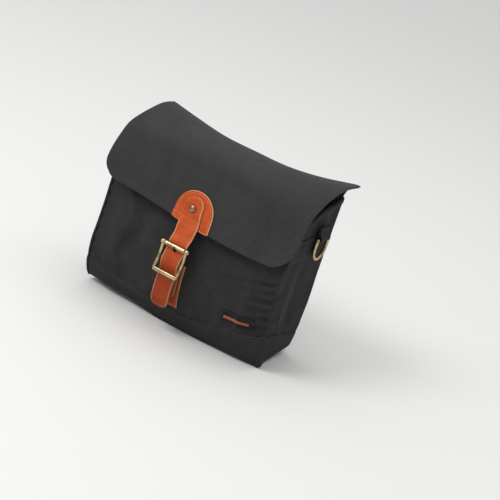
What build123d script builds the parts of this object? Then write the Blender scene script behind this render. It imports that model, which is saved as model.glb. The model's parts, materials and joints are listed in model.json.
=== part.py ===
from build123d import *
import math
import os

# Handlebar bag with a leather buckle closure, one solid piece per part of the real bag.
#
# Frame: millimetres, +Z up, the base's underside at z = 0 and the bag centred on x = 0. The front
# faces -Y; the handlebar lies behind the bag, parallel to X. Left is -X, right is +X.
# Side profiles are lists of (y, z) points.

SIDES = (("left", -1), ("right", 1))

# ---------------------------------------------------------------- driving dimensions
# body
BODY_W = 280.0                     # width over the two gussets
HALF = BODY_W / 2.0
PANEL_T = 2.0                      # coated nylon panel with its seam allowance
PANEL_LOW_Z = 2.2                  # lower edge of the front panel and the gussets
BACK_Y = 54.0                      # outer face of the back panel
BACK_TOP_Z = 232.5
RIM_Z = 205.0                      # top edge of the front panel
GUSSET_BACK_Z = 228.0              # top of the gusset at the back
WRAP_Z = 33.0                      # height the base panel wraps up the front
WRAP_T = 1.4
SEAM_GAP = 0.15                    # between the front panel and what lies on it
BOARD_T = 2.0                      # stiffeners
LINING_T = 0.9
LINING_LOW_Z = 5.0
BINDING_T = 1.0
LABEL_T = 0.9
PIPING_R = 1.2
CORD_R = 2.5                       # piping cord in the rear seam

# flap
REAR_SEAM_Y, REAR_SEAM_Z = 55.5, 236.5   # axis the whole flap opens about
FOLD_Y, FOLD_Z = -46.0, 232.0      # axis of the soft fold at the flap's front top
BARREL_R = 2.2                     # rolled fold on that axis
FLAP_HALF_W = 145.0
FLAP_EDGE_Z = 150.0                # lower edge of the flap
FLAP_CORNER_R = 32.0
FLAP_T = 1.7                       # outer cloth
FLAP_LINING_T = 1.0
FLAP_LINING_INSET = 1.5            # lining's side edges, in from the cloth's
LAYER_GAP = 0.1                    # between stacked layers

# closure strap, its patch and rivet
STRAP_W = 30.0
STRAP_T = 2.6
STRAP_BEND_Y, STRAP_BEND_Z = -81.4, 149.0   # line the strap bends about, below the flap's edge
STRAP_TAIL_Z = 29.0
BASE_STRIP_T = 2.4
PATCH_W, PATCH_T = 57.0, 2.4       # arched leather patch on the flap
PATCH_TOP_Z = 195.0
RIVET_Z = 173.0
RIVET_SHANK_R = 1.7
BURR_R = 4.5
RIVET_LEAN_DEG = 18.6              # lean of the flap from vertical at the rivet

# buckle
BUCKLE_TOP_Z, BUCKLE_MID_Z, BUCKLE_LOW_Z = 123.0, 101.0, 79.0
BUCKLE_END_Y, BUCKLE_MID_Y = -94.5, -89.5
BUCKLE_BAR_R = 1.9                 # bar inside the roller
ROLLER_R = 2.75
ROLLER_GAP = 0.08
BUCKLE_HALF_IN = 15.9              # half the clear width inside the frame
SIDE_BAR_W = 3.9
SIDE_BAR_T = 3.6
BOSS_R = 2.5
KNOB_R = 3.35
KEEPER_BAR_R = 2.55
CENTRE_BAR_R = 1.5
PRONG_R = 1.35
EYE_GAP, EYE_WALL, EYE_HALF_W = 0.06, 1.15, 1.7
CHAPE_HALF_W = 13.0
CHAPE_LOOP_IN_R = CENTRE_BAR_R + 0.08
CHAPE_LOOP_OUT_R = CHAPE_LOOP_IN_R + 1.1
CHAPE_LEG_T = 2.2

# magnetic snap between chape and base strip
SNAP_Z = 62.0
SNAP_R = 7.5
SNAP_NORMAL = (-0.984, -0.176)     # outward normal of the front at the snap, (y, z)
SNAP_TANGENT = (-0.176, 0.984)     # up along the front
CHAPE_OUT = 6.4                    # back face of the chape, out from the front panel

# side rings
BAND_GAP, BAND_OUT = 0.1, 1.2      # the gusset band's two faces, out from the gusset
DRING_Y, DRING_Z = 18.0, 181.0     # centre of the ring's straight bar
DRING_IN_W, DRING_R = 29.5, 2.2    # clear width, wire radius
DRING_DROP = 29.0                  # from the bar's axis to the lowest point of the bow's axis
DRING_CORNER_R = 3.0
TAB_T = 1.5
TAB_HALF, TAB_LOW_Z, TAB_TOP_Z = 13.7, 160.0, 197.0
TAB_IN_R = DRING_R + 0.12          # loop of the tab round the ring's bar
TAB_OUT_R = TAB_IN_R + TAB_T
RING_X = HALF + BAND_OUT + 0.15 + TAB_T + 0.12 + DRING_R

# handlebar straps
BAR_R = 11.2                       # inside of the strap's loop, for a 22.2 mm tube
ANCHOR_T = 2.6                     # leather patch the handlebar lies against
ANCHOR_Y = BACK_Y + ANCHOR_T       # rear face of that patch
ANCHOR_HALF_W = 18.0
LOOP_X = 78.0                      # straps' distance from the centre
LOOP_W = 28.0
LOOP_T = 2.4
BAR_Y, BAR_Z = ANCHOR_Y + BAR_R + 0.4, 204.0
LOOP_BEND_Y, LOOP_BEND_Z = ANCHOR_Y + 1.6, 224.0
LOOP_BEND_R = 1.35
LOOP_START_DEG, LOOP_END_DEG = 112.0, -108.0   # about the bar, from +Y towards +Z
STUD_Z = 171.0                     # press stud
TAIL_LOW_Z = STUD_Z - 11.0
TAIL_Y = ANCHOR_Y + 3.0            # front face of the strap's straight tail
PIN_Z, PIN_X = 163.0, 13.05        # small rivets in the patch's foot, X from the patch's centre

# outer line of the front panel, from the base to the rim, (y, z)
FRONT_LINE = [
    (-47.0, 2.2), (-55.5, 15.0), (-64.0, 32.0), (-71.0, 52.0), (-75.3, 76.0),
    (-75.6, 100.0), (-72.2, 124.0), (-66.4, 148.0), (-59.6, 174.0), (-52.5, RIM_Z),
]
# outer line of the flap's front drop, from the fold to the lower edge, (y, z)
FLAP_DROP_LINE = [
    (-48.4, 231.0), (-54.0, 216.0), (-60.6, 197.0), (-68.4, 172.0), (-76.4, FLAP_EDGE_Z),
]
# outer line of the flap's top, from the rear seam to the fold, (y, z)
FLAP_TOP_LINE = [
    (REAR_SEAM_Y - 2.9, REAR_SEAM_Z + 1.0), (35.0, 240.4), (10.0, 242.2), (-15.0, 241.2),
    (-33.0, 238.0), (-43.2, 233.8),
]


# ---------------------------------------------------------------- lines in side view
def resample(points, count):
    """Points spread evenly along a smooth curve through the given ones (Catmull-Rom)."""
    padded = [points[0]] + list(points) + [points[-1]]
    fine = []
    for i in range(1, len(padded) - 2):
        quad = padded[i - 1:i + 3]
        for k in range(24):
            t = k / 24.0
            fine.append(tuple(
                0.5 * (2 * b + (c - a) * t + (2 * a - 5 * b + 4 * c - d) * t * t
                       + (3 * b - a - 3 * c + d) * t ** 3)
                for a, b, c, d in zip(*quad)))
    fine.append(tuple(points[-1]))
    run = [0.0]
    for start, end in zip(fine, fine[1:]):
        run.append(run[-1] + math.dist(start, end))
    spread, j = [], 0
    for k in range(count):
        want = run[-1] * k / (count - 1)
        while j < len(run) - 2 and run[j + 1] < want:
            j += 1
        part = (want - run[j]) / max(run[j + 1] - run[j], 1e-9)
        spread.append(tuple(a + (b - a) * part for a, b in zip(fine[j], fine[j + 1])))
    return spread


def offset_line(points, distance):
    """The line moved sideways; positive is to the left of its direction of travel."""
    moved = []
    for i, (y, z) in enumerate(points):
        before = points[max(i - 1, 0)]
        after = points[min(i + 1, len(points) - 1)]
        dy, dz = after[0] - before[0], after[1] - before[1]
        length = math.hypot(dy, dz)
        moved.append((y - dz / length * distance, z + dy / length * distance))
    return moved


def front_line(z_low, z_high, count=60):
    """The part of the front panel's outer line between two heights."""
    part = [p for p in resample(FRONT_LINE, 400) if z_low <= p[1] <= z_high]
    return [part[round(i * (len(part) - 1) / (count - 1))] for i in range(count)]


def drop_line(distance, below_z=math.inf):
    """The flap's front drop moved inward (outward if negative), kept below a height."""
    moved = offset_line(resample(FLAP_DROP_LINE, 40), distance)
    return [p for p in moved if p[1] < below_z]


def nearest_height(line, height):
    return min(line, key=lambda point: abs(point[1] - height))


# ---------------------------------------------------------------- solids
def prism_x(x0, x1, *parts):
    """Prism along X from a closed (y, z) outline.

    A part is a curve, given as a list of points, or a single corner; straight edges join them.
    """
    runs = [part if isinstance(part, list) else [part] for part in parts]
    edges = []
    for run, following in zip(runs, runs[1:] + runs[:1]):
        if len(run) > 1:
            edges.append(Spline(*[Vector(x0, y, z) for y, z in run]))
        if math.dist(run[-1], following[0]) > 1e-6:
            edges.append(Line(Vector(x0, *run[-1]), Vector(x0, *following[0])))
    return extrude(Face(Wire(edges)), amount=x1 - x0, dir=(1, 0, 0))


def prism_y(edges, y0, y1):
    """Prism along Y from edges drawn in the plane y0."""
    return extrude(Face(Wire(edges)), amount=y1 - y0, dir=(0, 1, 0))


def ribbon(line, thickness, x0, x1, count=12):
    """Strip with one face on the line; positive thickness goes to the right of travel."""
    face_line = resample(line, count)
    other_line = offset_line(face_line, -thickness)
    return prism_x(x0, x1, face_line, other_line[::-1])


def block(x0, x1, y0, y1, z0, z1):
    centre = Pos((x0 + x1) / 2, (y0 + y1) / 2, (z0 + z1) / 2)
    return centre * Box(x1 - x0, y1 - y0, z1 - z0)


def rod_x(radius, x0, x1, y, z):
    return Pos((x0 + x1) / 2, y, z) * (Rot(0, 90, 0) * Cylinder(radius, x1 - x0))


def rod_y(radius, y0, y1, x, z):
    return Pos(x, (y0 + y1) / 2, z) * (Rot(90, 0, 0) * Cylinder(radius, y1 - y0))


def rounded_plate(x0, x1, z0, z1, r_low, r_high, y0, y1):
    """Plate in the XZ plane with its own corner radius at the bottom and at the top."""
    def arc(cx, cz, radius, start, end):
        return ThreePointArc(*[
            Vector(cx + radius * math.cos(math.radians(angle)), y0,
                   cz + radius * math.sin(math.radians(angle)))
            for angle in (start, (start + end) / 2, end)])

    low, high = max(r_low, 0.01), max(r_high, 0.01)
    edges = [arc(x0 + low, z0 + low, low, 180, 270)]
    if x1 - x0 - 2 * low > 1e-6:
        edges.append(Line(Vector(x0 + low, y0, z0), Vector(x1 - low, y0, z0)))
    edges.append(arc(x1 - low, z0 + low, low, 270, 360))
    edges.append(Line(Vector(x1, y0, z0 + low), Vector(x1, y0, z1 - high)))
    edges.append(arc(x1 - high, z1 - high, high, 0, 90))
    if x1 - x0 - 2 * high > 1e-6:
        edges.append(Line(Vector(x1 - high, y0, z1), Vector(x0 + high, y0, z1)))
    edges.append(arc(x0 + high, z1 - high, high, 90, 180))
    edges.append(Line(Vector(x0, y0, z1 - high), Vector(x0, y0, z0 + low)))
    return prism_y(edges, y0, y1)


def swept_rod(path, radius):
    return sweep(Plane(origin=path @ 0, z_dir=path % 0) * Circle(radius), path=path)


def chamfer_rims(shape, size):
    return chamfer(shape.edges().filter_by(GeomType.CIRCLE), size)


def save(name, *shapes):
    """Write the solids of the shapes as one piece."""
    found = [solid for shape in shapes for solid in shape.solids()]
    piece = found[0] if len(found) == 1 else Compound(children=found)
    piece.label = name
    export_step(piece, f"parts/{name}.step")


# ---------------------------------------------------------------- body
def front_panel():
    line = front_line(PANEL_LOW_Z, RIM_Z)
    return ribbon(line, PANEL_T, -HALF + PANEL_T, HALF - PANEL_T, count=16)


def back_panel():
    return block(-HALF + PANEL_T, HALF - PANEL_T, BACK_Y - PANEL_T, BACK_Y,
                 PANEL_T + 0.2, BACK_TOP_Z)


def gusset(sign):
    front = front_line(PANEL_LOW_Z, RIM_Z, 14)
    top = resample([front[-1], (-30.0, 212.0), (10.0, 221.0), (BACK_Y, GUSSET_BACK_Z)], 5)
    x0 = -HALF if sign < 0 else HALF - PANEL_T
    return prism_x(x0, x0 + PANEL_T, front, top, (BACK_Y, PANEL_LOW_Z))


def base_panel():
    """Flat underside that wraps up the front in one piece."""
    line = resample(front_line(PANEL_LOW_Z, WRAP_Z), 7)
    outer = offset_line(line, WRAP_T + SEAM_GAP)
    inner = offset_line(line, SEAM_GAP)
    floor = block(-HALF, HALF, inner[0][0] + 0.4, BACK_Y, 0.0, PANEL_T)
    # the wrap's foot overlaps the floor
    foot_y = inner[0][0] + 0.6
    wrap = prism_x(-HALF, HALF, outer, inner[::-1], (foot_y, PANEL_T), (foot_y, 0.0),
                   (outer[0][0] + 1.0, 0.0))
    return floor + wrap


def back_board():
    """Stiffener between the back panel and the lining."""
    rear_y = BACK_Y - PANEL_T - 0.2
    return rounded_plate(-HALF + 8, HALF - 8, 8.0, 222.0, 12.0, 12.0, rear_y - BOARD_T, rear_y)


def base_board():
    """Stiffener between the base and the lining."""
    board = Pos(0, 3.0, PANEL_T + 1.2) * Box(BODY_W - 12, 88.0, BOARD_T)
    return fillet(board.edges().filter_by(Axis.Z), 8.0)


def lining():
    """One open-topped inner bag."""
    front = offset_line(resample(front_line(8.0, RIM_Z - 3.0), 14), -(PANEL_T + 0.8))
    back_y = BACK_Y - PANEL_T - 2.6
    top_z = front[-1][1]
    half_out = HALF - (PANEL_T + 0.4)
    solid = prism_x(-half_out, half_out, front, (back_y, top_z), (back_y, LINING_LOW_Z),
                    (front[0][0] + 3.2, LINING_LOW_Z))

    front_in = offset_line(front, -LINING_T)
    back_in_y = back_y - LINING_T
    floor_z = LINING_LOW_Z + LINING_T
    half_in = half_out - LINING_T
    # the void stands above the rim, to open the top
    void_top_z = top_z + 4
    void = prism_x(-half_in, half_in, front_in, (front_in[-1][0], void_top_z),
                   (back_in_y, void_top_z), (back_in_y, floor_z),
                   (front_in[0][0] + 2.6, floor_z))
    return solid - void


def rim_binding():
    """Tape folded over the front panel's top edge."""
    half = HALF - 5
    rim_y = FRONT_LINE[-1][0]
    line = offset_line(front_line(RIM_Z - 13.0, RIM_Z, 6), SEAM_GAP + BINDING_T)
    tape = ribbon(line, BINDING_T, -half, half, count=5)
    return tape + block(-half, half, rim_y - 1.0, rim_y + 2.2, RIM_Z + SEAM_GAP, RIM_Z + 1.3)


def front_piping(sign):
    """Piping cord in the seam between front panel and gusset."""
    line = offset_line(front_line(WRAP_Z + 4.0, RIM_Z - 14.0, 8), SEAM_GAP + PIPING_R)
    return swept_rod(Spline(*[Vector(sign * (HALF + 0.1), y, z) for y, z in line]), PIPING_R)


def woven_label():
    """Plain patch, low on the front at the right."""
    line = offset_line(front_line(47.0, 67.0, 5), SEAM_GAP + LABEL_T)
    return ribbon(line, LABEL_T, 78.0, 126.0, count=4)


# ---------------------------------------------------------------- side rings
def gusset_band(sign):
    """Band across the outside of the gusset, behind the ring's tab."""
    front = offset_line(front_line(150.0, 184.0, 5), -3.0)
    rear_y = BACK_Y - 2.0
    x0, x1 = sorted((sign * (HALF + BAND_GAP), sign * (HALF + BAND_OUT)))
    return prism_x(x0, x1, front, (rear_y, front[-1][1]), (rear_y, front[0][1]))


def ring_tab(sign):
    """Webbing loop round the ring's bar; its backing leg hangs down behind the ring."""
    ring_x = sign * RING_X
    y0, y1 = DRING_Y - TAB_HALF, DRING_Y + TAB_HALF
    loop = (rod_y(TAB_OUT_R, y0, y1, ring_x, DRING_Z)
            - rod_y(TAB_IN_R, DRING_Y - 16, DRING_Y + 16, ring_x, DRING_Z))
    back_x = ring_x - sign * TAB_OUT_R
    joint_x = back_x + sign * TAB_T
    front_x = back_x + sign * 2 * TAB_T
    backing_leg = block(*sorted((back_x, joint_x)), y0, y1, TAB_LOW_Z, TAB_TOP_Z)
    # outer leg, (x, z): from the loop's outer side, sloping in to lie on the backing leg
    inside_x, outside_x = ring_x + sign * TAB_IN_R, ring_x + sign * TAB_OUT_R
    outline = [
        (inside_x, DRING_Z), (outside_x, DRING_Z), (outside_x, DRING_Z + 3.0),
        (front_x, DRING_Z + 10.5), (front_x, TAB_TOP_Z), (joint_x, TAB_TOP_Z),
        (joint_x, DRING_Z + 9.6), (inside_x, DRING_Z + 2.6),
    ]
    edges = [Line(Vector(a[0], y0, a[1]), Vector(b[0], y0, b[1]))
             for a, b in zip(outline, outline[1:] + outline[:1])]
    return loop + backing_leg + prism_y(edges, y0, y1)


def d_ring(sign):
    """Straight bar along Y with a bow hanging below; the path starts mid-bar."""
    half = DRING_IN_W / 2 + DRING_R
    front, rear = DRING_Y - half, DRING_Y + half
    corner = DRING_CORNER_R
    inset = corner * (1 - math.sqrt(0.5))
    bow_z = DRING_Z - (DRING_DROP - half)

    def at(y, z):
        return Vector(sign * RING_X, y, z)

    path = Wire([
        Line(at(DRING_Y, DRING_Z), at(rear - corner, DRING_Z)),
        ThreePointArc(at(rear - corner, DRING_Z), at(rear - inset, DRING_Z - inset),
                      at(rear, DRING_Z - corner)),
        Line(at(rear, DRING_Z - corner), at(rear, bow_z)),
        ThreePointArc(at(rear, bow_z), at(DRING_Y, bow_z - half), at(front, bow_z)),
        Line(at(front, bow_z), at(front, DRING_Z - corner)),
        ThreePointArc(at(front, DRING_Z - corner), at(front + inset, DRING_Z - inset),
                      at(front + corner, DRING_Z)),
        Line(at(front + corner, DRING_Z), at(DRING_Y, DRING_Z)),
    ])
    section = Plane(origin=at(DRING_Y, DRING_Z), z_dir=(0, 1, 0)) * Circle(DRING_R)
    return sweep(section, path=path)


# ---------------------------------------------------------------- flap
def flap_top():
    return ribbon(resample(FLAP_TOP_LINE, 12), -FLAP_T, -FLAP_HALF_W, FLAP_HALF_W)


def flap_top_lining():
    line = offset_line(resample(FLAP_TOP_LINE, 12), FLAP_T + LAYER_GAP)
    line = [p for p in line if -41.0 < p[0] < 47.0]
    half = FLAP_HALF_W - FLAP_LINING_INSET
    return ribbon(line, -FLAP_LINING_T, -half, half, count=8)


def rivet_hole():
    return rod_y(RIVET_SHANK_R, -120, -40, 0.0, RIVET_Z)


def flap_front():
    line = resample(FLAP_DROP_LINE, 10)
    drop = ribbon(line, -FLAP_T, -FLAP_HALF_W, FLAP_HALF_W, count=10)
    barrel = rod_x(BARREL_R, -FLAP_HALF_W, FLAP_HALF_W, FOLD_Y, FOLD_Z)
    trim = rounded_plate(-FLAP_HALF_W, FLAP_HALF_W, FLAP_EDGE_Z - 1.0, 260.0,
                         FLAP_CORNER_R, 0.0, -120.0, 20.0)
    return ((drop + barrel) & trim) - rivet_hole()


def flap_front_lining():
    half = FLAP_HALF_W - FLAP_LINING_INSET
    body = ribbon(drop_line(FLAP_T + LAYER_GAP, 224.0), -FLAP_LINING_T, -half, half, count=8)
    trim = rounded_plate(-half, half, FLAP_EDGE_Z + 0.6, 260.0,
                         FLAP_CORNER_R - FLAP_LINING_INSET, 0.0, -120.0, 20.0)
    return (body & trim) - rivet_hole()


def closure_patch():
    """Arched leather patch, its straight edge on the flap's lower edge."""
    half = PATCH_W / 2
    body = ribbon(drop_line(-LAYER_GAP, PATCH_TOP_Z + 3), PATCH_T, -half, half, count=8)
    trim = rounded_plate(-half, half, FLAP_EDGE_Z - 0.4, PATCH_TOP_Z,
                         0.8, half - 0.01, -120.0, 20.0)
    return (body & trim) - rivet_hole()


def strap_head_line():
    """Inner face of the strap head, on the patch."""
    return drop_line(-(LAYER_GAP + PATCH_T + LAYER_GAP), RIVET_Z + STRAP_W / 2 + 3)


def strap_head():
    """The strap's rounded end, riveted to the patch."""
    half = STRAP_W / 2
    body = ribbon(strap_head_line(), STRAP_T, -half, half, count=7)
    trim = rounded_plate(-half, half, STRAP_BEND_Z + 1.8, RIVET_Z + half,
                         0.0, half - 0.01, -120.0, 20.0)
    return (body & trim) - rivet_hole()


# the rivet's leaning cutters reach this far up, down and sideways from its axis
RIVET_REACH = 8
RIVET_LEAN = RIVET_REACH * math.tan(math.radians(RIVET_LEAN_DEG))
RIVET_LOW_Z, RIVET_HIGH_Z = RIVET_Z - RIVET_REACH, RIVET_Z + RIVET_REACH


def rivet_inner_y():
    """Inner face of the flap's lining at the rivet."""
    return nearest_height(drop_line(FLAP_T + LAYER_GAP + FLAP_LINING_T), RIVET_Z)[0]


def rivet_cap():
    """Domed cap outside the strap head, with the shank."""
    outer_y = nearest_height(offset_line(strap_head_line(), -STRAP_T), RIVET_Z)[0]
    seat_y = outer_y - 0.12
    outside = prism_x(-RIVET_REACH, RIVET_REACH,
                      (outer_y - 9, RIVET_LOW_Z), (outer_y - 9, RIVET_HIGH_Z),
                      (seat_y + RIVET_LEAN, RIVET_HIGH_Z), (seat_y - RIVET_LEAN, RIVET_LOW_Z))
    dome = (Pos(0, outer_y + 1.6, RIVET_Z) * Sphere(5.6)) & outside
    shank = rod_y(RIVET_SHANK_R - 0.06, outer_y - 1.0, rivet_inner_y() + 1.9, 0, RIVET_Z)
    return dome + shank


def rivet_burr():
    """Washer on the shank inside the flap, leaning with it."""
    inner_y = rivet_inner_y()
    front_y, rear_y = inner_y + 0.12, inner_y + 1.5
    slab = prism_x(-RIVET_REACH, RIVET_REACH,
                   (front_y + RIVET_LEAN, RIVET_HIGH_Z), (front_y - RIVET_LEAN, RIVET_LOW_Z),
                   (rear_y - RIVET_LEAN, RIVET_LOW_Z), (rear_y + RIVET_LEAN, RIVET_HIGH_Z))
    washer = rod_y(BURR_R, inner_y - 6, inner_y + 8, 0, RIVET_Z) & slab
    return washer - rod_y(RIVET_SHANK_R - 0.02, inner_y - 8, inner_y + 9, 0, RIVET_Z)


# ---------------------------------------------------------------- closure strap and buckle
def closure_strap():
    """Strap through the buckle, with a slot for the prong."""
    half = STRAP_W / 2
    end_y = BUCKLE_END_Y + ROLLER_R + 0.55     # clear behind the roller
    # outer face, from the bend down to the tail, (y, z)
    line = [
        (STRAP_BEND_Y - 1.2, STRAP_BEND_Z - 1.4), (-85.6, 138.0),
        (end_y - 0.1, BUCKLE_TOP_Z + 4), (end_y + 0.15, BUCKLE_TOP_Z),
        (end_y - 0.6, BUCKLE_TOP_Z - 6.5), (BUCKLE_MID_Y - 5.6, BUCKLE_MID_Z),
        (end_y - 0.6, BUCKLE_LOW_Z + 6.5), (end_y + 0.15, BUCKLE_LOW_Z),
        (end_y - 0.4, BUCKLE_LOW_Z - 6), (-91.4, 60.0), (-89.4, 44.0), (-86.0, STRAP_TAIL_Z),
    ]
    body = ribbon(line, -STRAP_T, -half, half, count=26)
    trim = rounded_plate(-half, half, STRAP_TAIL_Z - 0.5, 200.0, half - 4.5, 0.0, -130.0, 0.0)
    slot = rounded_plate(-2.2, 2.2, 98.0, 119.4, 2.19, 2.19, -110.0, -60.0)
    return (body & trim) - slot


def buckle_side(sign):
    """Bowed side bar, boss for the centre bar and knob at the roller's end."""
    mid_y = BUCKLE_MID_Y - 0.9
    line = resample([
        (BUCKLE_END_Y - 1.8, BUCKLE_LOW_Z - 1.0), (BUCKLE_END_Y - 1.4, BUCKLE_LOW_Z + 6),
        (mid_y - 1.8, BUCKLE_MID_Z),
        (BUCKLE_END_Y - 1.4, BUCKLE_TOP_Z - 6), (BUCKLE_END_Y - 1.8, BUCKLE_TOP_Z + 1.0),
    ], 11)
    x0, x1 = sorted((sign * BUCKLE_HALF_IN, sign * (BUCKLE_HALF_IN + SIDE_BAR_W)))
    bar = ribbon(line, SIDE_BAR_T, x0, x1, count=11)
    # the long edges stay sharp if the kernel can't round them
    try:
        bar = fillet([edge for edge in bar.edges() if edge.length > 30], 0.9)
    except Exception:
        pass
    boss = rod_x(BOSS_R, x0, x1, BUCKLE_MID_Y, BUCKLE_MID_Z)
    knob_x = sign * (BUCKLE_HALF_IN + SIDE_BAR_W / 2 + 0.6)
    knob = Pos(knob_x, BUCKLE_END_Y, BUCKLE_TOP_Z) * Sphere(KNOB_R)
    return [bar, boss, knob]


def buckle_frame():
    """Two sides, the roller's bar and the keeper bar, bored for the centre bar."""
    roller_bar_half = BUCKLE_HALF_IN + 1
    keeper_half = BUCKLE_HALF_IN + SIDE_BAR_W + 0.2
    roller_bar = rod_x(BUCKLE_BAR_R, -roller_bar_half, roller_bar_half,
                       BUCKLE_END_Y, BUCKLE_TOP_Z)
    keeper = rod_x(KEEPER_BAR_R, -keeper_half, keeper_half, BUCKLE_END_Y, BUCKLE_LOW_Z)
    frame, *others = [*buckle_side(-1), *buckle_side(1), roller_bar, chamfer_rims(keeper, 0.6)]
    for member in others:
        frame = frame + member
    return frame - rod_x(CENTRE_BAR_R, -30, 30, BUCKLE_MID_Y, BUCKLE_MID_Z)


def buckle_centre_bar():
    half = BUCKLE_HALF_IN + SIDE_BAR_W + 0.4
    return chamfer_rims(rod_x(CENTRE_BAR_R, -half, half, BUCKLE_MID_Y, BUCKLE_MID_Z), 0.4)


def buckle_roller():
    half = BUCKLE_HALF_IN - 0.75
    roller = chamfer_rims(rod_x(ROLLER_R, -half, half, BUCKLE_END_Y, BUCKLE_TOP_Z), 0.4)
    return roller - rod_x(BUCKLE_BAR_R + ROLLER_GAP, -30, 30, BUCKLE_END_Y, BUCKLE_TOP_Z)


def buckle_prong():
    """Eye round the centre bar; blade behind the strap, through its slot and over the roller."""
    eye_in = CENTRE_BAR_R + EYE_GAP
    bore = rod_x(eye_in, -5, 5, BUCKLE_MID_Y, BUCKLE_MID_Z)
    eye = rod_x(eye_in + EYE_WALL, -EYE_HALF_W, EYE_HALF_W, BUCKLE_MID_Y, BUCKLE_MID_Z) - bore
    over_roller_y = BUCKLE_END_Y - ROLLER_R - PRONG_R
    line = [
        (BUCKLE_MID_Y + 0.6, BUCKLE_MID_Z + 2.1), (BUCKLE_MID_Y - 0.6, BUCKLE_MID_Z + 6.5),
        (BUCKLE_MID_Y - 4.2, BUCKLE_MID_Z + 13.5),
        (over_roller_y - 0.15 + 0.6, BUCKLE_TOP_Z - 3.0),
        (over_roller_y - 0.2, BUCKLE_TOP_Z + 0.4),
    ]
    blade = swept_rod(Spline(*[Vector(0, y, z) for y, z in line]), PRONG_R)
    tip = Pos(0, *line[-1]) * Sphere(PRONG_R)
    return (eye + blade + tip) - bore


# ---------------------------------------------------------------- chape and magnetic snap
def on_snap(out, along=0.0):
    """Point on the snap's axis, out from the front panel, moved along the surface."""
    foot = nearest_height(resample(FRONT_LINE, 400), SNAP_Z)
    return tuple(start + normal * out + tangent * along
                 for start, normal, tangent in zip(foot, SNAP_NORMAL, SNAP_TANGENT))


def snap_disc(out0, out1):
    """Half of the snap, between two distances out from the front panel."""
    disc = chamfer_rims(Cylinder(SNAP_R, out1 - out0), 0.4)
    return Plane(origin=(0, *on_snap((out0 + out1) / 2)), z_dir=(0, *SNAP_NORMAL)) * disc


def buckle_chape():
    """Thin leather round the centre bar either side of the prong, hanging behind the strap."""
    half = CHAPE_HALF_W
    bore = rod_x(CHAPE_LOOP_IN_R, -15, 15, BUCKLE_MID_Y, BUCKLE_MID_Z)
    loop = rod_x(CHAPE_LOOP_OUT_R, -half, half, BUCKLE_MID_Y, BUCKLE_MID_Z) - bore
    back_y = BUCKLE_MID_Y + CHAPE_LOOP_OUT_R
    # back face of the leg, from its lower end up to the loop, (y, z)
    line = [
        on_snap(CHAPE_OUT, -12.0), on_snap(CHAPE_OUT), on_snap(CHAPE_OUT, 9.5), (-83.9, 82.0),
        (back_y + 0.7, BUCKLE_MID_Z - 10), (back_y, BUCKLE_MID_Z),
    ]
    leg = ribbon(line, -CHAPE_LEG_T, -half, half, count=11)
    prong_gap = block(-2.5, 2.5, -100, -80, BUCKLE_MID_Z - 6.0, BUCKLE_MID_Z + 8)
    chape = (loop + leg) - bore - prong_gap
    return chape & rounded_plate(-half, half, SNAP_Z - 13, 130, 6.0, 0.0, -120.0, -60.0)


def base_strip():
    """Strip sewn to the front panel, carrying the other half of the snap."""
    line = offset_line(front_line(36.0, 97.0, 40), LAYER_GAP + BASE_STRIP_T)
    return ribbon(line, BASE_STRIP_T, -STRAP_W / 2, STRAP_W / 2)


# ---------------------------------------------------------------- handlebar straps
def bar_patch(x):
    patch = rounded_plate(x - ANCHOR_HALF_W, x + ANCHOR_HALF_W, 157.0, 231.0, 6.0, 6.0,
                          BACK_Y + 0.1, ANCHOR_Y)
    patch = patch - rod_y(3.0, BACK_Y - 5, BACK_Y + 10, x, STUD_Z)
    for dx in (-PIN_X, PIN_X):
        patch = patch - rod_y(1.5, BACK_Y - 5, BACK_Y + 10, x + dx, PIN_Z)
    return patch


def stud_post(x):
    """Post of the press stud, set in the patch: shank, flange and nose."""
    shank = rod_y(2.94, BACK_Y + 0.12, ANCHOR_Y + 0.9, x, STUD_Z)
    flange = rod_y(5.2, ANCHOR_Y + 0.08, ANCHOR_Y + 0.9, x, STUD_Z)
    nose = rod_y(2.3, ANCHOR_Y + 0.8, ANCHOR_Y + 2.6, x, STUD_Z)
    return shank + flange + nose


def patch_rivet(x):
    """Small domed rivet through the patch's foot."""
    pin = rod_y(1.45, BACK_Y + 0.12, ANCHOR_Y + 0.2, x, PIN_Z)
    outside = block(x - 4, x + 4, ANCHOR_Y + 0.08, BACK_Y + 12, PIN_Z - 5, PIN_Z + 5)
    return pin + ((Pos(x, ANCHOR_Y - 1.6, PIN_Z) * Sphere(3.4)) & outside)


def around_bar(angle, radius):
    """(y, z) at an angle about the handlebar."""
    return (BAR_Y + radius * math.cos(math.radians(angle)),
            BAR_Z + radius * math.sin(math.radians(angle)))


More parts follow.
